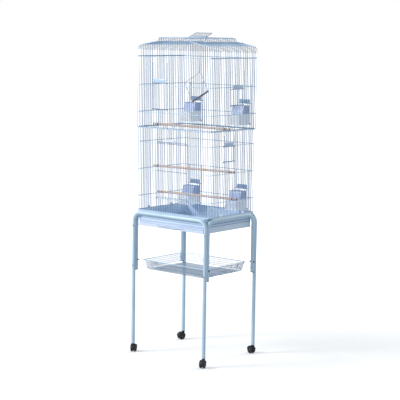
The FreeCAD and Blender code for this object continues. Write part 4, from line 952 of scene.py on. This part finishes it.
def build_wall(face, bars, top_of, ways, extra=None):
    """Upright wires, level bars, door sills and guide rods of one wall, and what else it has."""
    uprights = Bag()
    bag = Bag()
    for number in range(1 - face.gaps // 2, face.gaps // 2):
        u = number * face.pitch
        gaps = [(way.low, way.top) for way in ways if way.covers(u)]
        for start, end in free_spans(face.low + WIRE, top_of(u), gaps):
            face.rod(uprights, (u, 0, start), (u, 0, end), UPRIGHT)
    reach = face.half + (BAR if face.across else -BAR)
    for level, radius in bars:
        gaps = [(way.left, way.right) for way in ways
                if way.low < level - radius and way.top > level + radius]
        for start, end in free_spans(-reach, reach, gaps):
            face.rod(bag, (start, BAR_OUT, level), (end, BAR_OUT, level), radius, 10)
    for way in ways:
        for level in (way.low - BAR, way.top + BAR):
            face.rod(bag, (way.left, BAR_OUT, level), (way.right, BAR_OUT, level), BAR, 10)
        if way.travel:
            add_guides(bag, face, way)
    if extra:
        extra(bag, face)
    # The uprights take the darkened wire coat: painted shade.
    make_piece(face.node + "_uprights", uprights, SHADED_WIRE_PAINT, ROOT, (face.node,))
    make_piece(face.node + "_bars", bag, BAR_PAINT, ROOT, (face.node,))


def add_guides(bag, face, way):
    """Two rods that a door lifts on; each is one wire bent back to the wall at both ends."""
    low = way.low - OVERRUN
    high = way.top + 2 * BAR + way.travel + OVERRUN
    for u in (way.left, way.right):
        face.staple(bag, ((u, low), (u, high)), DOOR_OUT, GUIDE, 10)


def add_posts(top):
    def posts(bag, face):
        for end in (-1, 1):
            u = end * face.half
            face.rod(bag, (u, POST, face.low + POST), (u, POST, top), POST, 12)
    return posts


def coil(bag, centre, along, first, second, reach, thick, step):
    """The eye of a hinge or a slide: three close turns of wire about an axis."""
    for turn in (-1, 0, 1):
        wire(bag, circle(centre + along * (turn * step), first, second, reach, 14), thick, 6, True)


def build_lifting_door(face, way, body):
    """Upright wires between two bars, and eyes on the guide rods."""
    bag = Bag()
    start = GUIDE + RAIL_GAP
    for level in (way.low + BAR, way.top + BAR):
        face.rod(bag, (way.left + start, DOOR_OUT, level), (way.right - start, DOOR_OUT, level), BAR, 10)
        for u in (way.left, way.right):
            coil(bag, face.point(u, DOOR_OUT, level), Z, face.along, face.out,
                 GUIDE + EYE_GAP + EYE_COIL, EYE_COIL, COIL_PITCH * EYE_COIL)
    count = round((way.right - way.left) / face.pitch)
    top = way.top + 2 * BAR - DOOR_WIRE_INSET
    for i in range(1, count):
        u = way.left + i * face.pitch
        face.rod(bag, (u, DOOR_OUT, way.low + DOOR_WIRE_INSET), (u, DOOR_OUT, top), WIRE)
    # The door's wires take the darkened wire coat: painted shade.
    make_piece(way.door + "_wirework", bag, SHADED_WIRE_PAINT, body, (way.door,))
    build_tab(face, way, body)


def build_tab(face, way, body):
    """The moulded thumb tab over a lifting door, with three ridges across it."""
    tab = Bag()
    width = way.right - way.left
    middle = (way.left + way.right) / 2
    low_z = way.top + BAR
    high_z = way.top + 2 * BAR + TAB_HEIGHT - TAB_GAP
    inset = TAB_INSET * width
    corners = [face.point(way.left + inset, DOOR_OUT - TAB_HALF, low_z),
               face.point(way.right - inset, DOOR_OUT + TAB_HALF, high_z)]
    low = [min(corners[0][i], corners[1][i]) for i in range(3)]
    high = [max(corners[0][i], corners[1][i]) for i in range(3)]
    block(tab, low, high, TAB_EDGE, 2)
    reach = TAB_RIDGE_SHARE * width
    for k in (-1, 0, 1):
        z = (low_z + high_z) / 2 + TAB_PITCH * k
        face.rod(tab, (middle - reach, DOOR_OUT + TAB_RIDGE, z), (middle + reach, DOOR_OUT + TAB_RIDGE, z),
                 TAB_RIDGE)
    make_piece(way.door + "_tab", tab, TAB_PLASTIC, body, ())


def build_main_door(face):
    """The drop-down door, hinged on a rod across its sill."""
    axis_z = JOINTS["main_door_hinge"]["pos_m"][2]
    low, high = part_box("front_main_door")
    side = high.x - MAIN_DOOR_INSET
    top = high.z - BAR
    middle = face.low + LOWER_BANDS[1] + BAR
    foot = axis_z + MAIN_DOOR_FOOT
    bag = Bag()
    outline = [face.point(u, DOOR_OUT, z)
               for u, z in ((-side, foot), (-side, top), (side, top), (side, foot))]
    wire(bag, rounded(outline, MAIN_DOOR_BEND, 6, True), BAR, 12, True)
    face.rod(bag, (-side, DOOR_OUT, middle), (side, DOOR_OUT, middle), BAR, 10)
    for u in (-side, side):
        start, end = (axis_z + rise for rise in HINGE_STUB)
        face.rod(bag, (u, DOOR_OUT, start), (u, DOOR_OUT, end), BAR, 10)
        coil(bag, face.point(u, DOOR_OUT, axis_z), face.along, face.out, Z,
             BAR + EYE_GAP + HINGE_COIL, HINGE_COIL, COIL_PITCH * HINGE_COIL)
    count = round(2 * side / face.pitch)
    for i in range(1, count):
        u = -side + 2 * side * i / count
        face.rod(bag, (u, DOOR_OUT, foot + MAIN_DOOR_WIRE_GAP), (u, DOOR_OUT, top), WIRE)
    # The main door's wires take the darkened wire coat: painted shade.
    make_piece("main_door_wirework", bag, SHADED_WIRE_PAINT, "main_door", ("front_main_door",))
    build_latch_clip()


def build_latch_clip():
    """The white clip on top of the main door: a foot, a raised grip and ridges for the thumb."""
    low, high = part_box("front_door_clip")
    clip = Bag()
    block(clip, low, (high.x, high.y, low.z + CLIP_FOOT), CLIP_ROUND, 3)
    block(clip, (low.x + CLIP_SHOULDER, low.y + EDGE, low.z + CLIP_GRIP_LOW),
          (high.x - CLIP_SHOULDER, high.y - EDGE, high.z), CLIP_GRIP_ROUND, 3)
    for k in range(CLIP_RIDGES):
        x = low.x + CLIP_RIDGE_START + CLIP_PITCH * k
        block(clip, (x - CLIP_RIDGE_HALF, low.y, low.z + CLIP_RIDGE_LOW),
              (x + CLIP_RIDGE_HALF, (low.y + high.y) / 2, high.z - CLIP_RIDGE_DROP), 0.0004, 2)
    make_piece("door_latch_clip", clip, CLIP_PLASTIC, "main_door", ("front_door_clip",))


def build_back_and_sides(section, faces, bars, back_top, side_top, back_extra):
    """The back with its two feeder doors, the plain left wall and the right wall with its door."""
    back = faces["back"]
    doors = [f"feeder_door_{section}_{side}" for side in ("left", "right")]
    ways = [lifting_way(back, door, door + "_lift") for door in doors]
    build_wall(back, bars, back_top, ways, back_extra)
    for way in ways:
        build_lifting_door(back, way, way.door)
    build_wall(faces["left"], bars, side_top, [])
    right = faces["right"]
    way = lifting_way(right, f"side_door_{section}", f"{section}_side_door_lift")
    build_wall(right, bars, side_top, [way])
    build_lifting_door(right, way, f"{section}_side_door")


def build_lower_section():
    faces = {side: Face("lower", side) for side in ("front", "back", "left", "right")}
    base = faces["left"].low
    top = faces["left"].high
    bars = [(base + BAR, BAR), (top - BAR, BAR)] + [(base + band, BAR) for band in LOWER_BANDS]
    low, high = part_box("front_main_door")
    hinge_z = JOINTS["main_door_hinge"]["pos_m"][2]
    main_way = Way("front_main_door", low.x - MAIN_DOOR_GAP, high.x + MAIN_DOOR_GAP, hinge_z + BAR,
                   base + LOWER_BANDS[2] - BAR)

    def top_of(u):
        return top - TOP_GAP

    def hinge_rod(bag, face):
        add_posts(top)(bag, face)
        face.staple(bag, ((main_way.left, hinge_z), (main_way.right, hinge_z)), DOOR_OUT, BAR, 12)

    build_wall(faces["front"], bars, top_of, [main_way], hinge_rod)
    build_main_door(faces["front"])
    build_back_and_sides("lower", faces, bars, top_of, top_of, add_posts(top))


# ---------------------------------------------------------------- upper section and roof

# The roof outline rises from the shoulders over two slopes to the ridge, as (x, height above the eaves).
SHOULDER_INSET = 0.033
SHOULDER_LOW = 0.031
SHOULDER_TOP = 0.061
SLOPE = (0.150, 0.072)
STEP = (0.107, 0.079)
RIDGE_HALF = 0.097
RIDGE_RISE = 0.098
RIDGE_RAIL_INSET = 0.0060625
RAIL_REACH = 0.0006
RAIL_SHORT = 0.001
HATCH_FRAME_GAPS = 5.5
HATCH_LENGTH = 0.052
HATCH_FOOT = 0.0030
HATCH_SILL = 0.0038
HATCH_BEND = 0.005
HATCH_WIRE_GAP = 0.0002
HATCH_EYE = 0.0022
HATCH_COIL_STEP = 0.0010
HATCH_INSET = 0.002
PIN = 0.00125
PIN_FOOT = 0.002
PIN_BEND = 0.0025
ROOF_BEND = 0.008
GABLE_GAP = 0.0005


def shoulder_radius():
    rise = SHOULDER_TOP - SHOULDER_LOW
    return (SHOULDER_INSET ** 2 + rise ** 2) / (2 * SHOULDER_INSET)


def outline_height(x, half):
    """Height of the roof outline above the eaves at x."""
    x = abs(x)
    corners = [(half - SHOULDER_INSET, SHOULDER_TOP), SLOPE, STEP, (RIDGE_HALF, RIDGE_RISE),
               (0.0, RIDGE_RISE)]
    if x > corners[0][0]:
        radius = shoulder_radius()
        across = x - (half - radius)
        return SHOULDER_LOW + math.sqrt(max(radius * radius - across * across, 0))
    for outer, inner in zip(corners, corners[1:]):
        if x >= inner[0]:
            return outer[1] + (outer[0] - x) / (outer[0] - inner[0]) * (inner[1] - outer[1])
    return RIDGE_RISE


def roof_path(half, eave, y, out=0.0):
    """The bent outline of the roof at depth y, pushed outward by out."""
    radius = shoulder_radius() + out
    centre_x = half - shoulder_radius()
    centre_z = eave + SHOULDER_LOW
    top_angle = math.atan2(SHOULDER_TOP - SHOULDER_LOW, half - SHOULDER_INSET - centre_x)
    right = [Vector((half + out, y, eave))]
    steps = 8
    for step in range(steps + 1):
        angle = top_angle * step / steps
        right.append(Vector((centre_x + radius * math.cos(angle), y, centre_z + radius * math.sin(angle))))
    bent = [Vector((x, y, eave + z + out)) for x, z in (SLOPE, STEP, (RIDGE_HALF, RIDGE_RISE))]
    right += rounded([right[-1]] + bent + [Vector((0, y, eave + RIDGE_RISE + out))], ROOF_BEND, 4)[1:]
    left = [Vector((-point.x, y, point.z)) for point in reversed(right[:-1])]
    return right + left


def build_upper_section():
    faces = {side: Face("upper", side) for side in ("front", "back", "left", "right")}
    base = faces["left"].low + UPPER_RING
    eave = faces["left"].high
    half = faces["right"].plane
    bars = [(base, RING), (eave - BAR, BAR)] + [(base + band - UPPER_RING, BAR) for band in UPPER_BANDS]

    def gable_top(u):
        return eave + outline_height(u, half) - GABLE_GAP

    def side_top(u):
        return eave - TOP_GAP

    def gable(bag, face):
        add_posts(eave)(bag, face)
        wire(bag, roof_path(half, eave, face.sign * (face.plane + BAR_OUT)), BAR, 10)

    front = faces["front"]
    way = lifting_way(front, "front_upper_door", "upper_front_door_lift")
    build_wall(front, bars, gable_top, [way], gable)
    build_lifting_door(front, way, "upper_front_door")
    build_back_and_sides("upper", faces, bars, gable_top, side_top, gable)
    build_roof(faces, eave, half)


def build_roof(faces, eave, half):
    """Bent wires from eave to eave, long bars that tie them, and the hatch's frame and pin."""
    wires = Bag()
    rails = Bag()
    ridge = eave + RIDGE_RISE
    side = faces["right"]
    hinge = Vector(JOINTS["hatch_hinge"]["pos_m"])
    hatch_bar = HATCH_FRAME_GAPS * faces["front"].pitch
    for number in range(1 - side.gaps // 2, side.gaps // 2):
        y = number * side.pitch
        path = roof_path(half, eave, y)
        if hinge.y < y < hinge.y + HATCH_LENGTH:
            right = [point for point in path if point.x > hatch_bar] + [Vector((hatch_bar, y, ridge))]
            wire(wires, right, WIRE)
            wire(wires, [Vector((-point.x, y, point.z)) for point in right], WIRE)
        else:
            wire(wires, path, WIRE)
    depth = side.half + RAIL_REACH
    for sign in (-1, 1):
        for x, z, reach in ((half + BAR_OUT, eave + BAR, depth),
                            (SLOPE[0], eave + SLOPE[1] + BAR_OUT, depth),
                            (hatch_bar, ridge - BAR_OUT, depth - RAIL_SHORT),
                            (RIDGE_HALF - RIDGE_RAIL_INSET, ridge - BAR_OUT, depth - RAIL_SHORT)):
            wire(rails, [Vector((sign * x, -reach, z)), Vector((sign * x, reach, z))], BAR, 10)
    foot = ridge - PIN_FOOT
    pin = [Vector((x, hinge.y, z)) for x, z in ((-hatch_bar, foot), (-hatch_bar, hinge.z),
                                                (hatch_bar, hinge.z), (hatch_bar, foot))]
    wire(rails, rounded(pin, PIN_BEND, 5), PIN, 10)
    # The roof's bent wires take the mid-tone coat: painted shade.
    make_piece("roof_bent_wires", wires, SHADED_ROOF_PAINT, ROOT, ("roof",))
    make_piece("roof_rails", rails, BAR_PAINT, ROOT, ("roof",))
    build_hatch(hinge, faces["front"].pitch)


def build_hatch(hinge, pitch):
    """The roof flap, drawn flat and turned to its resting angle about the hinge."""
    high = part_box("roof_hatch")[1]
    half = high.x - HATCH_INSET
    rest_angle = math.asin((high.z - hinge.z - BAR * 0.9) / HATCH_LENGTH)
    turn = Matrix.Translation(hinge) @ Matrix.Rotation(rest_angle, 4, "X")
    lean = turn.to_3x3()
    bag = Bag()

    def at(x, y):
        return turn @ Vector((x, y, 0))

    far = HATCH_LENGTH - BAR
    outline = [at(-half, HATCH_FOOT), at(-half, far), at(half, far), at(half, HATCH_FOOT)]
    wire(bag, rounded(outline, HATCH_BEND, 5), BAR, 12)
    sill = HATCH_FOOT + HATCH_SILL
    wire(bag, [at(-half, sill), at(half, sill)], BAR, 10)
    count = round(2 * half / pitch)
    for i in range(1, count):
        x = -half + 2 * half * i / count
        wire(bag, [at(x, sill + HATCH_WIRE_GAP), at(x, far)], WIRE)
    for sign in (-1, 1):
        coil(bag, at(sign * half, 0), X, lean @ Y, lean @ Z, HATCH_EYE, EYE_COIL, HATCH_COIL_STEP)
    # The hatch's wires take the darkened wire coat: painted shade.
    make_piece("hatch_wirework", bag, SHADED_WIRE_PAINT, "hatch", ("roof_hatch",))


# ---------------------------------------------------------------- tub, tray and feeders

MOULDING = 0.0016
TUB_BEND = 0.014
TUB_SHOULDER = 0.009
FLANGE_BACK = 0.002
# Stepped mouldings round the tub, as (height above its floor, distance out from its wall).
MOULDINGS = ((0.034, 0.0006), (0.046, 0.0010), (0.060, 0.0006))
RIB = 0.0010
RIB_DROPS = (0.0035, 0.0115)
RIB_INSET = 0.004
GRIP_HALF = 0.092
GRIP_RISE = 0.0125
GRIP_DROP = 0.010
GRIP_WIRE = 0.0012
GRIP_STEPS = 24
FEEDER_RIM = 0.050
FEEDER_CORNER = 0.008
FEEDER_BEND = 0.007
HOOD_LIP = 0.057
HOOD_MARGIN = 0.0005
HOOD_REACH = 0.046
HOOD_SLANT = 0.008
BOWL_TAPER = 0.006
LIP_WIRE = 0.0017
LIP_FRONT = 0.0008
LIP_SIDE = 0.001
FOOT_LEVEL = 0.004
FOOT_BEAD = 0.0012
FOOT_BACK = 0.012


def build_tub():
    softened("base_tub", "tub_shell", TUB_PLASTIC, ROOT, 0.0010)
    softened("pull_out_tray", "tray_shell", TRAY_PLASTIC, "tray", 0.0008)
    build_tub_mouldings()
    build_tray_ribs()


def build_tub_mouldings():
    """Level mouldings that step out round the tub's walls, in a darker plastic that paints the shade under
    each step.
    """
    low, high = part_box("base_tub")
    half_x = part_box("pull_out_tray")[1].x + TUB_SHOULDER
    half_y = high.y - FLANGE_BACK
    bag = Bag()
    for rise, proud in MOULDINGS:
        outline = rectangle(half_x + proud, half_y + proud - MOULDINGS[0][1], low.z + rise)
        wire(bag, rounded(outline, TUB_BEND, 8, True), MOULDING, 8, True)
    make_piece("tub_mouldings", bag, SHADE_LINE_PLASTIC, ROOT, ())


def build_tray_ribs():
    """Two ribs along the tray's front, and the curved edge of its finger grip, in a darker plastic that
    paints the shadow lines there.
    """
    low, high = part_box("pull_out_tray")
    reach = high.x - RIB_INSET
    bag = Bag()
    for drop in RIB_DROPS:
        wire(bag, [Vector((x, low.y, high.z - drop)) for x in (-reach, reach)], RIB)
    grip = []
    for i in range(GRIP_STEPS + 1):
        across = 2 * i / GRIP_STEPS - 1
        sag = GRIP_DROP * (1 - across * across)
        grip.append(Vector((across * GRIP_HALF, low.y, low.z + GRIP_RISE - sag)))
    wire(bag, grip, GRIP_WIRE)
    make_piece("tray_front_ribs", bag, SHADE_LINE_PLASTIC, "tray", ())


def shape_feeder(mesh, low, high):
    """Tapers the bowl towards its foot and slants the front of the hood out over the bowl's lip."""
    for level in (FEEDER_RIM, HOOD_LIP):
        bmesh.ops.bisect_plane(mesh, geom=mesh.verts[:] + mesh.edges[:] + mesh.faces[:], dist=1e-6,
                               plane_co=(0, 0, low.z + level), plane_no=(0, 0, 1))
    hood_front = high.y - HOOD_REACH
    for vert in mesh.verts:
        rise = vert.co.z - low.z
        if vert.co.y < low.y + FEEDER_CORNER and rise < FEEDER_RIM:
            vert.co.y += BOWL_TAPER * (1 - rise / FEEDER_RIM)
        elif abs(vert.co.y - hood_front) < FEEDER_CORNER and rise > HOOD_LIP - 1e-5:
            vert.co.y -= HOOD_SLANT * (high.z - vert.co.z) / (high.z - low.z - HOOD_LIP)


def build_feeders():
    for level in ("lower", "upper"):
        for side in ("left", "right"):
            build_feeder(f"feeder_cup_{level}_{side}")


def build_feeder(node):
    """A white cup with a tinted hood, a rolled lip round its mouth and a bead round its foot."""
    low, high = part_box(node)
    # The cup's faint glow is painted light.
    piece = softened(node, node + "_shell", GLOWING_CUP_PLASTIC, node, 0.0005, 2,
                     lambda mesh: shape_feeder(mesh, low, high))
    piece.data.materials.append(HOOD_PLASTIC)
    for face in piece.data.polygons:
        if face.center.z > low.z + HOOD_LIP - HOOD_MARGIN:
            face.material_index = 1
    bag = Bag()
    mouth = low.y + LIP_FRONT
    for inset, front, back, rise, radius, sides in (
            (LIP_SIDE, mouth, HOOD_REACH, FEEDER_RIM, LIP_WIRE, 10),
            (FOOT_BEAD, mouth + BOWL_TAPER, FOOT_BACK, FOOT_LEVEL, FOOT_BEAD, 8)):
        left, right = low.x + inset, high.x - inset
        outline = ((left, high.y - back), (left, front), (right, front), (right, high.y - back))
        path = [Vector((x, y, low.z + rise)) for x, y in outline]
        wire(bag, rounded(path, FEEDER_BEND, 6), radius, sides)
    make_piece(node + "_lip", bag, GLOWING_CUP_PLASTIC, node, ())


# ---------------------------------------------------------------- perches, swing and clips

TENON = 0.004
SHOULDER_GAP = 0.0003
PERCH_INNER = 0.2375 - WIRE - 0.0012
# End of a perch, as (depth below its surface, distance in from the shoulder): a round edge and a groove.
PERCH_END = ((0.0012, 0), (0, 0.0014), (0, 0.010), (0.0007, 0.0108), (0.0007, 0.0125), (0, 0.0133))
# The band of painted shade over each perch's groove: its span in from the shoulder, its rounded edge and how
# far it stands proud.
SHADE_BAND = (0.0065, 0.0145)
SHADE_BAND_EDGE = 0.0005
SHADE_BAND_PROUD = 0.0002
CAP_LENGTH = 0.004
CAP_GAP = 0.0001
CAP_CHAMFER = 0.0005
CAP_ROUND = 0.0012
SWING_RADIUS = 0.005
SWING_LEG = 0.110
SWING_WIRE = 0.00125
SWING_BEND = 0.010
HOOK_INSET = 0.006
HOOK_DROP = 0.003
HOOK_TOP = 0.0028
SWING_GROOVES = 10
SWING_GROOVE = 0.0008
CLAW_DEPTH = 0.0005
SWING_EDGE = 0.0012
SWING_NECK = 0.0010
RING_REACH = 0.00255
RING_WIRE = 0.0008
CLIP_HEAD = 0.0075
CLIP_HEAD_GAP = 0.0005
# Head of a base clip, as (radius, distance out from the clip).
CLIP_HEAD_PROFILE = ((0, -0.0015), (0.0071, -0.0015), (CLIP_HEAD, -0.0010), (CLIP_HEAD, 0.0006),
                     (0.0063, 0.0018), (0.003375, 0.0022), (0.0030, 0.0016), (0, 0.0016))


def build_perches():
    caps = Bag()
    shade_bands = Bag()
    for label in ("top", "middle", "bottom"):
        node = f"perch_{label}"
        low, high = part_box(node)
        radius = (high.z - low.z) / 2
        ends = perch_axis(node)
        half = (ends[1] - ends[0]).length / 2
        place = along_axis((low + high) / 2, ends[1] - ends[0])
        profile = [(0, -half), (TENON - CAP_CHAMFER, -half), (TENON, EDGE - half),
                   (TENON, -PERCH_INNER - SHOULDER_GAP)]
        profile += [(radius - depth, inset - PERCH_INNER) for depth, inset in PERCH_END]
        profile += [(r, -h) for r, h in reversed(profile)]
        bag = Bag()
        lathe(bag, profile, place, 40)
        make_piece(f"{node}_dowel", bag, PERCH_WOOD, ROOT, (node,))
        for sign in (-1, 1):
            add_shade_band(shade_bands, place, sign, radius)
            add_perch_cap(caps, place, sign, radius, half)
    make_piece("perch_caps_detailed", caps, BLACK_PLASTIC, ROOT, ("perch_end_caps",))
    # The dark bands are painted shade for the grooves, in the darkened wood.
    make_piece("perch_shade_bands", shade_bands, SHADED_SWING_WOOD, ROOT, ())


def add_shade_band(bag, place, sign, radius):
    """A dark band of painted shade over the groove near one end of a perch."""
    end, start = (sign * (PERCH_INNER - reach) for reach in SHADE_BAND)
    edge = sign * SHADE_BAND_EDGE
    lathe(bag, [(radius - EDGE, start), (radius + SHADE_BAND_PROUD, start + edge),
                (radius + SHADE_BAND_PROUD, end - edge), (radius - EDGE, end)], place, 40)


def add_perch_cap(bag, place, sign, radius, half):
    """A plastic cap on the tenon, outside the wires."""
    bore = TENON + CAP_GAP
    inner = half - CAP_LENGTH
    profile = [(bore, inner), (radius - CAP_CHAMFER, inner), (radius, inner + EDGE),
               (radius, half - CAP_ROUND), (radius - CAP_ROUND, half), (bore, half), (bore, inner)]
    lathe(bag, [(reach, sign * height) for reach, height in profile], place, 32)


def perch_axis(node):
    """The two ends of a perch's centre line, read from the end faces of its CAD node."""
    points = [vert.co for vert in frame["nodes"][node].data.vertices]
    ends = []
    for sign in (-1, 1):
        edge = max(sign * point.x for point in points)
        face = [point for point in points if sign * point.x > edge - 0.001]
        ends.append(sum(face, Vector()) / len(face))
    return ends


def build_swing():
    """A bent-wire stirrup hanging by its hook from a roof wire, with a wooden dowel between its legs, painted
    dark for shade.
    """
    pivot = Vector(JOINTS["swing_pivot"]["pos_m"])
    ends = swing_axis()
    along = (ends[1] - ends[0]).normalized()
    up = Vector((-along.z, 0, along.x))
    feet = [ends[0] - along * SWING_WIRE, ends[1] + along * SWING_WIRE]
    tops = [foot + up * SWING_LEG for foot in feet]
    bag = Bag()
    outline = [feet[0] - up * SWING_RADIUS, tops[0], tops[1], feet[1] - up * SWING_RADIUS]
    wire(bag, rounded(outline, SWING_BEND, 8), SWING_WIRE, 12)
    hook_foot = tops[1] - along * HOOK_INSET - up * HOOK_DROP
    wire(bag, [hook_foot, pivot - Z * HOOK_TOP], SWING_WIRE, 12)
    wire(bag, circle(pivot, Y, Z, RING_REACH, 20), RING_WIRE, 8, True)
    make_piece("swing_wire_frame", bag, ZINC, "swing", ("swing_stirrup",))
    build_swing_dowel(ends, along)


def build_swing_dowel(ends, along):
    """The wooden dowel, painted dark for shade, with shallow grooves turned round it for the claws."""
    radius = SWING_RADIUS
    length = (ends[1] - ends[0]).length
    neck = radius - SWING_NECK
    profile = [(0, 0), (neck, 0), (radius, SWING_EDGE)]
    for i in range(1, SWING_GROOVES + 1):
        middle = length * i / (SWING_GROOVES + 1)
        profile += [(radius - depth, middle + shift * SWING_GROOVE)
                    for shift, depth in ((-2, 0), (-1, CLAW_DEPTH), (1, CLAW_DEPTH), (2, 0))]
    profile += [(radius, length - SWING_EDGE), (neck, length), (0, length)]
    bag = Bag()
    lathe(bag, profile, along_axis(ends[0], along), 32)
    make_piece("swing_dowel", bag, SHADED_SWING_WOOD, "swing", ("swing_perch",))


def swing_axis():
    """The two ends of the swing perch's centre line."""
    points = [vert.co for vert in frame["nodes"]["swing_perch"].data.vertices]
    middle = middle_of("swing_perch")
    tilt = swing_tilt(points, middle)
    along = Vector((math.cos(tilt), 0, math.sin(tilt)))
    half = max((point - middle).dot(along) for point in points)
    return [middle - along * half, middle + along * half]


def swing_tilt(points, middle):
    """The angle at which the swing perch's outline, seen from the front, is thinnest."""
    def thickness(angle):
        across = Vector((-math.sin(angle), 0, math.cos(angle)))
        return max(abs((point - middle).dot(across)) for point in points)
    return min((math.radians(step / 4) for step in range(0, 360)), key=thickness)


def build_clips():
    for node in ("section_clips", "base_clips"):
        softened(node, node + "_rounded", CLIP_PLASTIC, ROOT, 0.0004, 2)
    heads = Bag()
    for low, high in solid_boxes("base_clips"):
        middle = (low + high) / 2
        outward = math.copysign(1, middle.x)
        face = Vector((high.x if outward > 0 else low.x, middle.y, low.z + CLIP_HEAD + CLIP_HEAD_GAP))
        lathe(heads, CLIP_HEAD_PROFILE, along_axis(face, (outward, 0, 0)), 32)
    # The clip heads share the cup plastic's faint glow: painted light.
    make_piece("base_clip_heads", heads, GLOWING_CUP_PLASTIC, ROOT, ())


# ---------------------------------------------------------------- studio

# The camera's angles in degrees, its place in metres and its focal length in pixels come from a
# perspective fit to the photograph.
AZIMUTH = 39.72
PITCH = 7.41
ROLL = -0.92
DISTANCE = 7.016
SIDE_STEP = 0.0253
EYE_LEVEL = 1.7276
FOCAL_PIXELS = 1357.0
IMAGE_WIDTH = 400
SENSOR = 36.0
FLOOR = 60.0
SKY_LIGHT = 0.52
KEY_PLACE = (-3.2, -4.6, 3.6)
KEY_POWER = 285
RIM_PLACE = (1.5, 4.5, 3.0)
RIM_POWER = 60


def make_camera():
    azimuth, pitch, roll = (math.radians(angle) for angle in (AZIMUTH, PITCH, ROLL))
    right = Vector((math.cos(azimuth), math.sin(azimuth), 0))
    level = Vector((-math.sin(azimuth), math.cos(azimuth), 0))
    sight = level * math.cos(pitch) - Vector((0, 0, math.sin(pitch)))
    above = level * math.sin(pitch) + Vector((0, 0, math.cos(pitch)))
    image_right = right * math.cos(roll) - above * math.sin(roll)
    image_up = right * math.sin(roll) + above * math.cos(roll)
    place = -level * DISTANCE + right * SIDE_STEP
    data = bpy.data.cameras.new("PhotoCamera")
    data.sensor_width = SENSOR
    data.lens = FOCAL_PIXELS / IMAGE_WIDTH * SENSOR
    data.clip_end = 200
    camera = bpy.data.objects.new("PhotoCamera", data)
    bpy.context.scene.collection.objects.link(camera)
    turn = Matrix((image_right, image_up, -sight)).transposed().to_4x4()
    camera.matrix_world = Matrix.Translation((place.x, place.y, EYE_LEVEL)) @ turn
    bpy.context.scene.camera = camera


def make_light(name, place, target, size, power):
    data = bpy.data.lights.new(name, "AREA")
    data.shape = "DISK"
    data.size = size
    data.energy = power
    lamp = bpy.data.objects.new(name, data)
    bpy.context.scene.collection.objects.link(lamp)
    lamp.location = place
    lamp.rotation_euler = (Vector(target) - Vector(place)).to_track_quat("-Z", "Y").to_euler()


def make_floor():
    """A pale floor that brightens into a white sweep away from the object."""
    data = bpy.data.meshes.new("floor")
    data.from_pydata([(-FLOOR, -FLOOR, 0), (FLOOR, -FLOOR, 0), (FLOOR, FLOOR, 0), (-FLOOR, FLOOR, 0)], [],
                     [(0, 1, 2, 3)])
    floor = bpy.data.objects.new("floor", data)
    bpy.context.scene.collection.objects.link(floor)
    paint = Paint("StudioFloor", 0.8)
    paint.colour(paint.ramp(paint.noise(3.0, 3.0), [(0.3, 0.80), (0.7, 0.84)]))
    paint.shader.inputs["Emission Color"].default_value = (1, 1, 1, 1)
    distance = paint.node("ShaderNodeVectorMath", operation="LENGTH")
    paint.link(paint.place, distance.inputs[0])
    reach = paint.node("ShaderNodeMapRange", interpolation_type="SMOOTHSTEP")
    for socket, value in (("From Min", 0.5), ("From Max", 3.5), ("To Min", 0.30), ("To Max", 0.95)):
        reach.inputs[socket].default_value = value
    paint.link(distance.outputs["Value"], reach.inputs["Value"])
    paint.link(reach.outputs["Result"], paint.shader.inputs["Emission Strength"])
    data.materials.append(paint.material)
    floor.visible_diffuse = False
    floor.visible_glossy = False


def make_world():
    """White behind the object; a dimmer blue-white for the light that the surroundings give."""
    world = bpy.data.worlds.new("Studio")
    world.use_nodes = True
    tree = world.node_tree
    seen = tree.nodes["Background"]
    seen.inputs["Color"].default_value = (1, 1, 1, 1)
    lit = tree.nodes.new("ShaderNodeBackground")
    lit.inputs["Color"].default_value = (0.90, 0.95, 1.0, 1)
    lit.inputs["Strength"].default_value = SKY_LIGHT
    choose = tree.nodes.new("ShaderNodeMixShader")
    rays = tree.nodes.new("ShaderNodeLightPath")
    tree.links.new(rays.outputs["Is Camera Ray"], choose.inputs[0])
    tree.links.new(lit.outputs[0], choose.inputs[1])
    tree.links.new(seen.outputs[0], choose.inputs[2])
    tree.links.new(choose.outputs[0], tree.nodes["World Output"].inputs["Surface"])
    bpy.context.scene.world = world


def make_studio():
    make_floor()
    make_world()
    bpy.context.scene.view_settings.view_transform = "Standard"
    make_light("Key", KEY_PLACE, (0, 0, 0.9), 1.6, KEY_POWER)
    make_light("Rim", RIM_PLACE, (0, 0, 1.0), 2.0, RIM_POWER)


make_camera()
make_studio()
build_stand()
build_fasteners()
build_casters()
build_basket()
build_tub()
build_lower_section()
build_upper_section()
build_feeders()
build_perches()
build_swing()
build_clips()
